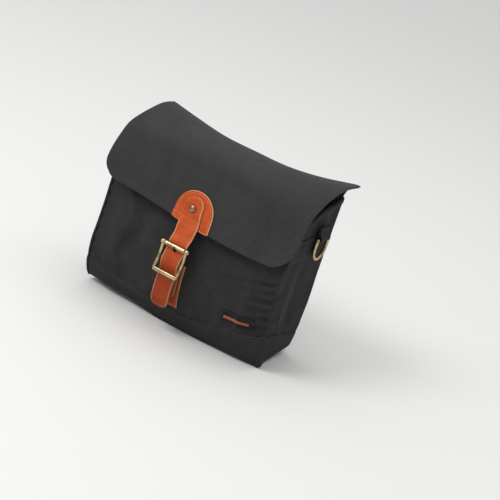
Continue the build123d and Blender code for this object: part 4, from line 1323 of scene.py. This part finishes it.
def flap_surface():
    """Grid and normals of the flap's outer face."""
    sheet = np.zeros((FLAP_ROWS, len(FLAP_SHARES), 3))
    from_edge = np.zeros(sheet.shape[:2])
    for row in range(FLAP_ROWS):
        left = arc_left(row)
        for k, share in enumerate(FLAP_SHARES):
            # the side edges wave a little
            wavy = (0.9 * math.sin(row / 7.0 + 1.0) if share < 0
                    else 0.8 * math.sin(row / 8.5 + 2.0))
            half = round_end(FLAP_HALF, FLAP_CORNER, left) + (0 if left < 6 else wavy)
            flare = 4.5 * fade(0, 16, row) * smooth(0.86, 1.0, share)
            x = share * half + flare
            sheet[row, k] = (x, *flap_yz(x, row))
            from_edge[row, k] = min(half - abs(x), left)
    probe = (FLAP_ROWS // 3, len(FLAP_SHARES) // 2)
    upward = np.array([0, 0, 1])
    facing = normals_toward(sheet, probe, upward)
    x = sheet[..., 0]
    level = np.arange(FLAP_ROWS)[:, None] * 2.6 + 0 * x
    swell = (cloud(x, level, scale=62.0, seed=11, octaves=2) * 1.1
             + cloud(x * 0.6, level * 0.5, scale=22.0, seed=12, octaves=1) * 0.45)
    crease = hanging_folds(FLAP_FOLDS, x, level, FLAP_FOLD_PIVOT)
    # flat behind the closure patch
    calm = smooth(32, 52, np.abs(x)) * smooth(80, 130, level) + fade(80, 130, level)
    # a raised hem with a groove inside it, except on the rear edge
    hem = 0.30 * fade(7.2, 8.4, from_edge) - 0.34 * ridge(from_edge - 8.6, 0.75)
    hem[:3] = 0
    relief = (swell + crease) * calm * smooth(0, 12, level) + hem
    sheet = sheet + facing * relief[..., None]
    return sheet, normals_toward(sheet, probe, upward)


FLAP, FLAP_NORMALS = flap_surface()


def flap_at(x, row, lift=0.0):
    """Point and normal on the flap at world x and fractional row."""
    i = min(max(int(row), 0), FLAP_ROWS - 2)
    share = row - i
    point, normal = (sample(x, FLAP[i, :, 0], grid[i]) * (1 - share)
                     + sample(x, FLAP[i + 1, :, 0], grid[i + 1]) * share
                     for grid in (FLAP, FLAP_NORMALS))
    normal = unit(normal)
    return point + normal * lift, normal


def flap_row(z):
    """Row of the drop at height z on the middle line."""
    rows = np.arange(TOP_ROWS - 1, FLAP_ROWS)
    levels = np.array([flap_at(0.0, float(min(row, LAST_ROW)))[0][2] for row in rows])
    return float(np.interp(-z, -levels, rows))


def blend_over_fold(piece):
    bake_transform(piece)


def flap_cloths():
    outer = slab("flap_outer_cloth", FLAP, FLAP_NORMALS, 1.5, FLAP_CLOTH, rounding=0.3)
    inner = (FLAP - FLAP_NORMALS * 1.65)[1:-1, 1:-1]
    lining = slab("flap_lining_cloth", inner, FLAP_NORMALS[1:-1, 1:-1], 0.9, LINING_CLOTH)
    for piece, replaced, slot in (
            (outer, ("flap_top", "flap_front"), "flap_cloth"),
            (lining, ("flap_top_lining", "flap_front_lining"), "lining_cloth")):
        blend_over_fold(piece)
        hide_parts(*replaced)


def hem_stitch():
    lines = []
    for side in (-1, 1):
        lines.append([flap_at(side * round_end(FLAP_HALF - HEM_INSET, FLAP_CORNER - HEM_INSET,
                                               arc_left(row) - HEM_INSET), row)
                      for row in np.linspace(3, FLAP_ROWS - 1.01, 150)
                      if arc_left(row) >= HEM_INSET])
    straight = FLAP_HALF - FLAP_CORNER
    low_row = row_at_arc(HEM_INSET)
    lines.append([flap_at(x, low_row) for x in np.linspace(-straight, straight, 150)])
    hem = join("flap_hem_stitch", [stitches("hem_row", line, BLACK, length=2.3, gap=1.4,
                                            radius=0.18, lift=-0.03) for line in lines])
    blend_over_fold(hem)


def rear_seam():
    """Cord and cloth facing between the back's top edge and the flap's rear edge."""
    edge = BODY[-1][IS_BACK]
    edge = edge[np.argsort(edge[:, 0])]
    cord_path, columns = [], []
    for x in np.linspace(-138, 138, 80):
        y, z = sample(x, edge[:, 0], edge[:, 1:])
        cord_path.append((x, y + 1.2, min(flap_yz(x, 0)[1] - 3.6, z + 3.0)))
        point, normal = flap_at(x, 0.9)
        bends = np.array([(x, y + 0.7, z - 5.0), (x, y + 0.9, z + 0.5), point - normal * 2.0])
        columns.append(sample(np.arange(9) / 8, (0, 0.4, 1), bends))
    cord = tube("rear_seam_piping", cord_path, 2.0, BODY_CLOTH, up=(0, 1, 0))
    sheet = np.stack(columns, 1)
    facing = slab("rear_seam_facing", sheet, normals_toward(sheet, (4, 40), np.array([0, 1, 0])),
                  0.8, BODY_CLOTH)
    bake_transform(facing)
    place(cord, "bag_body", "piping", "rear_seam_cord")


flap_cloths()
hem_stitch()
rear_seam()

# ---------------------------------------------------------------- closure patch
PATCH_LIFT = 2.35   # its face above the flap
PATCH_HALF = (PATCH_HIGH[0] - PATCH_LOW[0]) / 2 - 1.0
PATCH_LENGTH = arc_left(flap_row(PATCH_HIGH[2] - 1.3)) - arc_left(LAST_ROW)
PATCH_STITCH_INSET = 3.4


def patch_x(x, down):
    """The patch is cut unevenly: its arch leans to -X and its foot spreads to +X."""
    share = min(max(down / PATCH_LENGTH, 0.0), 1.0)
    return x - 1.9 * (1 - share) ** 1.1 + 3.3 * share ** 1.6 * max(x, 0.0) / PATCH_HALF


def closure_patch():
    """Leather arch on the drop, its foot turned just past the flap's lower edge."""
    downs = np.concatenate([[0, 0.25, 0.6, 1.1, 1.8, 2.7],
                            np.linspace(3.9, PATCH_LENGTH + 0.8, 40)])
    edges = np.array([-1, -0.982, -0.958, -0.93])
    shares = np.concatenate([edges, np.linspace(-0.89, 0.89, 25), -edges[::-1]])
    sheet = np.zeros((len(downs), len(shares), 3))
    facing = np.zeros_like(sheet)
    lip = np.zeros(sheet.shape[:2])
    for i, down in enumerate(downs):
        half = max(round_end(PATCH_HALF, PATCH_HALF, down), 0.5)
        left = PATCH_LENGTH - down
        row = row_at_arc(left) if left > 0 else LAST_ROW
        for k, share in enumerate(shares):
            x = half * signed_power(share, 0.85)
            inside = min(PATCH_HALF - math.hypot(x, max(PATCH_HALF - down, 0)), downs[-1] - down)
            # pale band just inside the patch's edge: partly the cut edge's own colour, partly painted highlight,
            # cut to 45 % on the left side as painted shade
            lip[i, k] = fade(0.45, 1.7, inside) * (0.45 + 0.55 * smooth(-24, -4, x))
            point, facing[i, k] = flap_at(patch_x(x, down), row, PATCH_LIFT)
            if left < 0:
                drop = left * (1 - 1.6 * smooth(PATCH_HALF - 4, PATCH_HALF, abs(x)))
                point = point + np.array([0, -0.25, drop])
            sheet[i, k] = point
    patch = slab("closure_patch_leather", sheet, facing, 2.3, LEATHER, rounding=0.24, lip=lip)
    place(patch, "flap_drop", "leather", "closure_patch")

    radius = PATCH_HALF - PATCH_STITCH_INSET
    sides = np.linspace(PATCH_LENGTH - 2.5, PATCH_HALF, 20)
    line = [(-radius, down) for down in sides]
    line += arc(0, PATCH_HALF, radius, np.linspace(-180, 0, 60))
    line += [(radius, down) for down in sides[::-1]]
    line = [flap_at(patch_x(x, down), row_at_arc(PATCH_LENGTH - down), PATCH_LIFT + 0.03)
            for x, down in line]
    place(stitches("closure_patch_stitch", line, CREAM, length=2.1, gap=1.3, radius=0.23,
                   lift=0.0), "flap_drop", "leather")


closure_patch()

# ---------------------------------------------------------------- closure strap
STRAP_THICKNESS = 2.5
STRAP_LIFT = PATCH_LIFT + 0.15      # its back above the flap
STRAP_HALF = (STRAP_HIGH[0] - STRAP_LOW[0]) / 2 - 0.7
TAIL_FLAT = 4.5                     # half of the straight part of the tail's end
STRAP_STITCH_INSET = 1.9
# sideways drift of the strap, (z, x)
STRAP_DRIFT = [(28, -2.6), (60, -2.3), (82, -1.8), (101, -0.7), (123, 0.7), (134, 1.6),
               (145, 2.0), (153, 1.4), (163, -0.9), (172, -2.7), (192, -3.5)]
# width of the strap against its nominal width, (z, factor)
STRAP_WIDTH = [(28, 0.925), (96, 0.93), (118, 0.965), (140, 1.0), (152, 1.045), (166, 1.0),
               (200, 1.0)]
# finer steps towards a strap's end, as distances from it
END_STEPS = np.array([0, 0.12, 0.4, 0.9, 1.6, 2.6, 3.9, 5.5, 7.4, 9.6, 12.0])
BAR_LOW_Z = 82.0
ROLLER_Y, ROLLER_Z = ROLLER[1:]
CENTRE_Y, CENTRE_Z = CENTRE_BAR[1:]


def strap_line():
    """Middle of the strap as (y, z), from its head down the flap, through the buckle."""
    line = [tuple(flap_at(0.0, flap_row(z), STRAP_LIFT + STRAP_THICKNESS / 2)[0][1:])
            for z in np.linspace(HEAD_TOP - 1.2, 153.5, 14)]
    over_frame = ROLLER_Y + 2.75 + 0.55
    # (y, z) of the strap's rear face below the flap
    rear_face = [
        (-84.4, 146.5), (-86.6, 137.0), (over_frame - 0.4, ROLLER_Z + 5),
        (over_frame + 0.15, ROLLER_Z), (over_frame - 0.9, ROLLER_Z - 7),
        (CENTRE_Y - 6.4, CENTRE_Z), (over_frame - 0.9, BAR_LOW_Z + 6.5),
        (over_frame + 0.4, BAR_LOW_Z), (over_frame - 0.2, BAR_LOW_Z - 7.5),
        (-91.6, 60.0), (-89.4, 44.0), (-86.6, STRAP_LOW[2] + 5.4)]
    return line + [(y + STRAP_THICKNESS / 2, z) for y, z in rear_face]


strap_curve = curve([(0, y, z) for y, z in strap_line()], 900)
strap_curve[:, 0] = lookup(strap_curve[:, 2], STRAP_DRIFT)
strap_along = arc_length(strap_curve)
STRAP_LENGTH = strap_along[-1]
STRAP_AT = np.concatenate([END_STEPS, np.linspace(15, STRAP_LENGTH - 15, 96),
                           STRAP_LENGTH - END_STEPS[::-1]])
STRAP_PATH = sample(STRAP_AT, strap_along, strap_curve)
STRAP_NORMALS = path_normals(STRAP_PATH)
if STRAP_NORMALS[40, 1] > 0:
    STRAP_NORMALS = -STRAP_NORMALS


def along_strap(at, stations, path, facing, x, lift):
    """Point and normal on a strap, at a length along it and x to its side."""
    normal = unit(sample(at, stations, facing))
    return sample(at, stations, path) + normal * lift + np.array([x, 0, 0]), normal


def on_strap(x, at, lift):
    z = np.interp(at, STRAP_AT, STRAP_PATH[:, 2])
    return along_strap(at, STRAP_AT, STRAP_PATH, STRAP_NORMALS, x * lookup(z, STRAP_WIDTH), lift)


def blend_at_bend(piece):
    """Bakes the piece's transform into its mesh, so it stays where it was built."""
    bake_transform(piece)


def closure_strap():
    halves = []
    for at, z in zip(STRAP_AT, STRAP_PATH[:, 2]):
        half = min(round_end(STRAP_HALF, STRAP_HALF, at),
                   round_end(STRAP_HALF, STRAP_HALF - TAIL_FLAT, STRAP_LENGTH - at))
        halves.append(max(half, 0.3) * lookup(z, STRAP_WIDTH))
    strap = strap_loft("closure_strap_leather", STRAP_PATH, halves, STRAP_THICKNESS, LEATHER,
                       STRAP_NORMALS, crown=0.12)
    # painted shade: the pale cut edge is dimmed on the head's left side, away from the light
    edge = strap.data.attributes["edge"].data
    for i, (x, _, z) in enumerate(mesh_points(strap.data)):
        if x < -4 and z > 150:
            edge[i].value *= 1 - 0.75 * smooth(150, 160, z)
    blend_at_bend(strap)
    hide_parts("strap_head", "closure_strap")

    head_radius = STRAP_HALF - STRAP_STITCH_INSET
    tail_radius = head_radius - TAIL_FLAT
    tail_at = STRAP_LENGTH - STRAP_STITCH_INSET - tail_radius
    sides = np.linspace(STRAP_LENGTH - STRAP_HALF, STRAP_HALF, 90)
    line = [(-head_radius, at) for at in sides]
    line += arc(0, STRAP_HALF, head_radius, np.linspace(-180, 0, 50))
    line += [(head_radius, at) for at in sides[::-1]]
    line += arc(TAIL_FLAT, tail_at, tail_radius, np.linspace(0, 90, 20))
    line += arc(-TAIL_FLAT, tail_at, tail_radius, np.linspace(90, 180, 20))
    line = [on_strap(x, at, STRAP_THICKNESS / 2 + 0.1) for x, at in line]
    stitch = stitches("closure_strap_stitch", line, CREAM, length=1.9, gap=1.3, radius=0.22,
                      lift=0.0)
    blend_at_bend(stitch)


def rivet():
    """Domed rivet through the strap's head, with a burr behind the flap."""
    row = flap_row(RIVET_Z - 2.8)
    x = lookup(RIVET_Z, STRAP_DRIFT)
    point, normal = flap_at(x, row, STRAP_LIFT + STRAP_THICKNESS + 0.05)
    place(dome("rivet_dome", point, normal, 5.3, 3.6, BRASS_DARK, rim=0.7),
          "flap_drop", "brass", "rivet_cap")
    point, _ = flap_at(x, row, -2.75)
    place(dome("rivet_back_burr", point, -normal, 4.5, 1.2, BRASS_DARK, rim=0.6),
          "flap_drop", "brass", "rivet_burr")


closure_strap()
rivet()

# ---------------------------------------------------------------- buckle
FRAME_LOW_Z = FRAME_BOTTOM + 7.6
FRAME_HALF = 17.85                  # between the middles of the frame's side bars, halved
FRAME_CORNER = 2.6
LOW_BAR_Y = ROLLER_Y - 1.8
# the frame hangs askew, (z, x)
FRAME_DRIFT = [(82, -2.2), (121, 0.0)]
# knob on each end of the roller's bar, (radius, height)
KNOB = [(0, 3.5), (1.5, 3.3), (2.6, 2.5), (3.15, 1.3), (3.3, 0), (3.1, -1.3), (2.6, -2.3),
        (2.0, -2.9), (2.1, -3.4), (0, -3.4)]
# the roller is a tube, (radius, height)
ROLLER_PROFILE = [(1.93, -15.15), (2.7, -15.15), (3.0, -14.8), (3.05, -14.0), (2.98, -7),
                  (2.95, 0), (2.98, 7), (3.05, 14.0), (3.0, 14.8), (2.7, 15.15),
                  (1.93, 15.15), (1.93, -15.15)]


def frame_side_y(z):
    """The side bars bow towards the bag between roller and lower bar."""
    share = min(max((z - FRAME_LOW_Z) / (ROLLER_Z - FRAME_LOW_Z), 0), 1)
    return ROLLER_Y - 0.2 - 1.6 * (1 - share) + 2.6 * math.sin(math.pi * share) ** 1.2


def buckle_frame():
    corner_x, corner_z = FRAME_HALF - FRAME_CORNER, FRAME_LOW_Z + FRAME_CORNER
    levels = np.linspace(ROLLER_Z - 1.5, corner_z, 24)

    def bend(x, start, end):
        return [(a, LOW_BAR_Y, b) for a, b in
                arc(x, corner_z, FRAME_CORNER, np.linspace(start, end, 7)[1:])]

    path = [(-FRAME_HALF, frame_side_y(z), z) for z in levels]
    path += bend(-corner_x, 180, 270)
    path += [(x, LOW_BAR_Y, FRAME_LOW_Z) for x in np.linspace(-corner_x, corner_x, 12)[1:]]
    path += bend(corner_x, 270, 360)
    path += [(FRAME_HALF, frame_side_y(z), z) for z in levels[::-1][1:]]
    radii = np.array([2.75 if abs(z - FRAME_LOW_Z) < 1.2 else 1.9 for _, _, z in path])
    path = [(x + lookup(z, FRAME_DRIFT), y, z) for x, y, z in path]
    parts = [tube("frame_bar", path, radii, BRASS, up=(0, -1, 0),
                  section=superellipse(20, powers=(0.55, 0.55)))]
    for side in (-1, 1):
        parts.append(lathe("knob", (side * (FRAME_HALF + 0.4), ROLLER_Y, ROLLER_Z),
                           (side, 0, 0), KNOB, BRASS, segments=28))
    parts.append(tube("roller_bar", [(x, ROLLER_Y, ROLLER_Z)
                                     for x in np.linspace(-FRAME_HALF, FRAME_HALF, 9)],
                      1.88, BRASS, up=(0, 0, 1), sides=16))
    place(join("buckle_frame_cast", parts), "closure", "brass", "buckle_frame")


def buckle_bars():
    roller = welded(lathe("buckle_roller_tube", (0, ROLLER_Y, ROLLER_Z), (1, 0, 0),
                          ROLLER_PROFILE, BRASS, segments=32))
    place(roller, "roller", "brass", "buckle_roller")
    drift = lookup(CENTRE_Z, FRAME_DRIFT)
    bar = tube("buckle_centre_pin", [(x, CENTRE_Y, CENTRE_Z) for x in
                                     np.linspace(-FRAME_HALF + drift, FRAME_HALF + drift, 9)],
               1.45, BRASS, up=(0, 0, 1), sides=20)
    place(bar, "closure", "brass", "buckle_centre_bar")


def buckle_prong():
    """Prong with an eye round the centre bar and its tip on the roller."""
    bends = [(0, CENTRE_Y + 0.7, CENTRE_Z + 2.1), (0, CENTRE_Y + 1.2, CENTRE_Z + 7.0),
             (0, CENTRE_Y + 0.6, CENTRE_Z + 13.0), (0, CENTRE_Y - 1.8, CENTRE_Z + 16.0),
             (0, ROLLER_Y - 0.9, ROLLER_Z - 4.7), (0, ROLLER_Y - 3.7, ROLLER_Z - 2.9),
             (0, ROLLER_Y - 4.5, ROLLER_Z + 0.5)]
    radii = np.concatenate([np.full(24, 1.35), [1.33, 1.28, 1.18, 1.0, 0.7, 0.3]])
    blade = tube("prong_blade", curve(bends, len(radii)), radii, BRASS_DARKEST, up=(1, 0, 0))
    eye_path = [(0, y, z) for y, z in
                arc(CENTRE_Y, CENTRE_Z, 2.1, np.linspace(0, 360, 24, endpoint=False))]
    section = superellipse(12, powers=(1, 0.6), sizes=(0.52, 1.7))[:, ::-1]
    eye = tube("prong_eye", eye_path, 1.0, BRASS_DARKEST, up=(1, 0, 0), closed=True,
               section=section)
    place(join("buckle_prong_wire", [blade, eye]), "prong", "brass", "buckle_prong")


def strap_slot():
    """Shallow dark oval in the strap's face, round the prong: painted shade of the prong's hole."""
    half_length, half = 3.2, 2.3
    centre = float(np.interp(-(ROLLER_Z - 5.6), -STRAP_PATH[:, 2], STRAP_AT))
    offsets = np.linspace(-half_length, half_length, 22)
    spots = [on_strap(0, centre + offset, STRAP_THICKNESS / 2 - 0.32) for offset in offsets]
    path, facing = (np.array(part) for part in zip(*spots))
    halves = [max(0.3, round_end(half, half, half_length - abs(offset))) for offset in offsets]
    place(strap_loft("strap_slot_painted_shade", path, halves, 0.9, HOLE_SHADE, facing),
          "closure", "leather")


def buckle_chape():
    """Leather behind the strap: a loop round the centre bar and a leg hanging from it."""
    leg_low = box_mm("buckle_chape")[0][2]
    cap_low, cap_high = box_mm("magnet_cap")
    cap_z = (cap_low[2] + cap_high[2]) / 2
    half, loop_radius = 12.8, 1.5 + 0.08 + 0.55
    loop = np.array([(0, y, z) for y, z in
                     arc(CENTRE_Y, CENTRE_Z, loop_radius, np.linspace(-60, -350, 24))])
    loop_piece = strap_loft("chape_loop", loop, np.full(len(loop), half), 1.1, LEATHER_DARKER,
                            path_normals(loop))
    leg = curve([(0, CENTRE_Y + loop_radius + 0.1, CENTRE_Z - 4),
                 (0, CENTRE_Y + loop_radius + 0.3, CENTRE_Z - 10), (0, -84.9, 82.0),
                 (0, -83.6, 72.5), (0, -81.6, cap_z - 0.2), (0, -79.5, leg_low + 1)], 50)
    pitch = np.linalg.norm(leg[1] - leg[0])
    halves = [round_end(half, 8, (len(leg) - 1 - k) * pitch) for k in range(len(leg))]
    leg_piece = strap_loft("chape_leg", leg, halves, 2.1, LEATHER_DARKER, path_normals(leg))
    place(join("buckle_chape_leather", [loop_piece, leg_piece]),
          "closure", "leather", "buckle_chape")


buckle_frame()
buckle_bars()
buckle_prong()
strap_slot()
buckle_chape()


# ---------------------------------------------------------------- strip down the front
def base_strip():
    spots = [front_at(0.0, z, 1.2 + 0.35) for z in np.linspace(STRIP_HIGH[2], STRIP_LOW[2], 60)]
    path, facing = (np.array(part) for part in zip(*spots))
    path[:, 0] = 0
    facing[:, 0] = 0
    facing = unit(facing)
    strip = strap_loft("base_strip_leather", path, np.full(len(path), 15.0), 2.3, LEATHER,
                       facing)
    place(strip, "bag_body", "leather", "base_strip")
    face = path + facing * 1.2
    rows = []
    for x in (-12.4, 12.4):
        rows.append(stitches("strip_row", zip(face + np.array([x, 0, 0]), facing), CREAM,
                             length=1.9, gap=1.3, radius=0.26, lift=0.03))
    line = [(face[-3] + np.array([x, 0, 0]), facing[-3]) for x in np.linspace(-12, 12, 10)]
    rows.append(stitches("strip_end", line, CREAM, length=2.2, gap=1.0, radius=0.34, lift=0.05))
    place(join("base_strip_stitch", rows), "bag_body", "leather")


base_strip()

# ---------------------------------------------------------------- bar straps on the back
BAR_PATCH_CORNER = 6.0
BAR_PATCH_INSET = 3.0
BAR_STRAP_THICKNESS = 2.3
BAR_STRAP_HALF = 14.0
BAR_STITCH_X = 11.6
# middle of the hanging end's thickness
BAR_TAIL_Y = BACK_Y + 2.6 + 1.0 + 2.0 + BAR_STRAP_THICKNESS / 2
STUD_SKIRT = [(2.5, 0), (5.3, 0), (5.4, 0.35), (5.1, 0.85), (2.9, 0.9), (2.5, 0.7), (2.5, 0)]


def rounded_rectangle(half_width, half_height, radius, count):
    """Points round it, clockwise from the left end of its upper side."""
    turn = math.pi / 2 * radius
    lengths = [2 * (half_width - radius), turn, 2 * (half_height - radius), turn] * 2
    points = []
    for share in np.linspace(0, 1, count):
        along = share * sum(lengths)
        k = 0
        while k < 7 and along > lengths[k]:
            along -= lengths[k]
            k += 1
        reach, out = ((half_height, half_width) if k // 2 % 2
                      else (half_width, half_height))
        if k % 2:
            u = reach - radius + radius * math.sin(along / radius)
            v = out - radius + radius * math.cos(along / radius)
        else:
            u, v = along - (reach - radius), out
        points.append(((u, v), (v, -u), (-u, -v), (-v, u))[k // 2])
    return points


def bar_patch(name):
    low, high = box_mm("bar_patch_" + name)
    x = (low[0] + high[0]) / 2
    half = (high[0] - low[0]) / 2
    steps = np.array([0, 0.3, 0.9, 1.8, 3.0, 4.4, 6.0])
    levels = np.concatenate([low[2] + steps, np.linspace(low[2] + 9, high[2] - 9, 24),
                             high[2] - steps[::-1]])
    halves = [round_end(half, BAR_PATCH_CORNER, min(z - low[2], high[2] - z)) for z in levels]
    patch = strap_loft("bar_patch_leather_" + name,
                       np.array([(x, BACK_Y + 1.45, z) for z in levels]), halves, 2.4, LEATHER,
                       np.tile(np.array([0, 1.0, 0]), (len(levels), 1)))
    place(patch, "bag_body", "leather", "bar_patch_" + name)
    outline = rounded_rectangle(half - BAR_PATCH_INSET, (high[2] - low[2]) / 2 - BAR_PATCH_INSET,
                                BAR_PATCH_CORNER - BAR_PATCH_INSET + 0.8, 200)
    middle = (low[2] + high[2]) / 2
    line = [((x + across, BACK_Y + 2.65, middle + up), (0, 1, 0)) for across, up in outline]
    place(stitches("bar_patch_stitch_" + name, line, CREAM, length=2.3, gap=1.0, radius=0.36,
                   lift=0.04), "bag_body", "leather")
    return x


def bar_strap(name, x):
    """Strap from its hinge over and round the bar, then down to a stud."""
    mount = MOUNTS["handlebar_" + name]
    _, bar_y, bar_z = np.array(mount["pos_m"]) / MM
    _, hinge_y, hinge_z = joint_mm("bar_loop_%s_open" % name)
    thickness = BAR_STRAP_THICKNESS
    stud_low, stud_high = box_mm("stud_cap_" + name)
    stud_z = (stud_low[2] + stud_high[2]) / 2
    bottom = box_mm("bar_strap_" + name)[0][2]
    line = [(hinge_y - 0.1, hinge_z + 1.0), (hinge_y + 0.9, hinge_z - 1.2)]
    line += arc(bar_y, bar_z, mount["dims"]["r_mm"] + 0.05 + thickness / 2,
                np.linspace(112, -108, 26))
    line += [(line[-1][0] - 1.0, line[-1][1] - 2.0), (BAR_TAIL_Y + 0.6, stud_z + 13),
             (BAR_TAIL_Y, stud_z + 8), (BAR_TAIL_Y, stud_z), (BAR_TAIL_Y, bottom + 0.3)]
    fine = curve([(x, y, z) for y, z in line], 600)
    along = arc_length(fine)
    length = along[-1]
    end_at = length - 14
    stations = np.concatenate([np.linspace(0, end_at, 74), length - END_STEPS[::-1]])
    path = sample(stations, along, fine)
    facing = path_normals(path)
    if facing[-5, 1] < 0:
        facing = -facing
    halves = [round_end(BAR_STRAP_HALF, 13, length - at) for at in stations]
    strap = strap_loft("bar_strap_leather_" + name, path, halves, thickness, LEATHER, facing)
    part = "bar_loop_" + name
    place(strap, part, "leather", "bar_strap_" + name)

    lines = [[(side * BAR_STITCH_X, at) for at in np.linspace(4, end_at, 120)]
             for side in (-1, 1)]
    lines.append([(BAR_STITCH_X * math.cos(math.radians(angle)),
                   end_at + 11.2 * math.sin(math.radians(angle)))
                  for angle in np.linspace(0, 180, 40)])
    rows = []
    for line in lines:
        spots = [along_strap(at, stations, path, facing, offset, thickness / 2 + 0.02)
                 for offset, at in line]
        rows.append(stitches("strap_row", spots, CREAM, length=2.2, gap=1.0, radius=0.34,
                             lift=0.05))
    place(join("bar_strap_stitch_" + name, rows), part, "leather")

    cap = dome("stud_cap_dome_" + name, (x, BAR_TAIL_Y + thickness / 2 + 0.05, stud_z),
               (0, 1, 0), 6.2, 2.4, BRASS)
    skirt = lathe("stud_skirt", (x, BAR_TAIL_Y - thickness / 2 - 0.06, stud_z), (0, -1, 0),
                  STUD_SKIRT, BRASS, segments=32)
    place(join("stud_cap_dome_" + name, [cap, welded(skirt)]), part, "brass",
          "stud_cap_" + name)


for name in ("left", "right"):
    bar_strap(name, bar_patch(name))

# ---------------------------------------------------------------- frame pieces shown as is
for node, material in (("magnet_cap", STEEL), ("magnet_base", STEEL),
                       ("stud_post_left", BRASS), ("stud_post_right", BRASS),
                       ("patch_rivets_left", BRASS_DARK), ("patch_rivets_right", BRASS_DARK)):
    materials = frame["nodes"][node].data.materials
    materials.clear()
    materials.append(material)


# ---------------------------------------------------------------- stage, light, camera
def pale_floor():
    material, _, surface = new_material("floor_pale")
    set_inputs(surface, Base_Color=(0.80, 0.798, 0.79, 1), Roughness=0.9,
               Specular_IOR_Level=0.1)
    reach, level = 15000, -0.5
    corners = [(-reach, -reach, level), (reach, -reach, level), (reach, reach, level),
               (-reach, reach, level)]
    make_mesh("floor", corners, [(0, 1, 2, 3)], material)


def studio_world():
    """White to the camera; as light, softer from +X and from below."""
    world = bpy.data.worlds.new("studio")
    bpy.context.scene.world = world
    world.use_nodes = True
    tree = world.node_tree
    background = tree.nodes["Background"]
    background.inputs[0].default_value = (1, 1, 1, 1)
    direction = tree.nodes.new("ShaderNodeTexCoord")
    split = tree.nodes.new("ShaderNodeSeparateXYZ")
    tree.links.new(direction.outputs["Generated"], split.inputs[0])
    from_above = math_node(tree, "MULTIPLY", split.outputs[2], 0.26)
    from_side = math_node(tree, "MULTIPLY", split.outputs[0], -0.34)
    level = math_node(tree, "ADD", math_node(tree, "ADD", from_above, from_side), 0.56)
    amount = math_node(tree, "MAXIMUM", level, 0.12)
    to_camera = tree.nodes.new("ShaderNodeLightPath").outputs["Is Camera Ray"]
    seen = math_node(tree, "MULTIPLY", to_camera, 1.0)
    unseen = math_node(tree, "SUBTRACT", 1.0, to_camera)
    lit = math_node(tree, "MULTIPLY", amount, unseen)
    tree.links.new(math_node(tree, "ADD", seen, lit), background.inputs[1])


def area_light(name, location, target, size, power):
    """Square light aimed at target; metres and watts."""
    light = bpy.data.lights.new(name, "AREA")
    light.energy = power
    light.size = size
    lamp = bpy.data.objects.new(name, light)
    bpy.context.scene.collection.objects.link(lamp)
    lamp.location = location
    lamp.rotation_mode = "QUATERNION"
    aim = Vector(target) - Vector(location)
    lamp.rotation_quaternion = aim.to_track_quat("-Z", "Y")


def add_camera():
    scene = bpy.context.scene
    lens = bpy.data.cameras.new("camera")
    camera = bpy.data.objects.new("camera", lens)
    scene.collection.objects.link(camera)
    lens.sensor_width = 36
    lens.lens = 115.349
    lens.clip_start = 0.05
    lens.clip_end = 100
    rotation = Matrix(((0.8272921839839599, -0.4215984353558893, 0.3712713315413889),
                       (0.47677596771401987, 0.17739982970035803, -0.8609378473691605),
                       (0.297106578401438, 0.8892604004046003, 0.3477694945547125)))
    location = (0.84289624, -1.81621261, 0.86144552)
    camera.matrix_world = Matrix.Translation(location) @ rotation.to_4x4()
    scene.camera = camera
    scene.view_settings.view_transform = "Standard"
    scene.view_settings.look = "None"


pale_floor()
studio_world()
area_light("key", location=(-0.9, -1.3, 1.9), target=(0, 0, 0.12), size=0.9, power=22)
area_light("top", location=(0.2, 0.4, 2.0), target=(0, 0, 0.15), size=1.6, power=7)
area_light("fill", location=(1.6, -1.2, 0.8), target=(0, 0, 0.12), size=1.4, power=0.6)
add_camera()
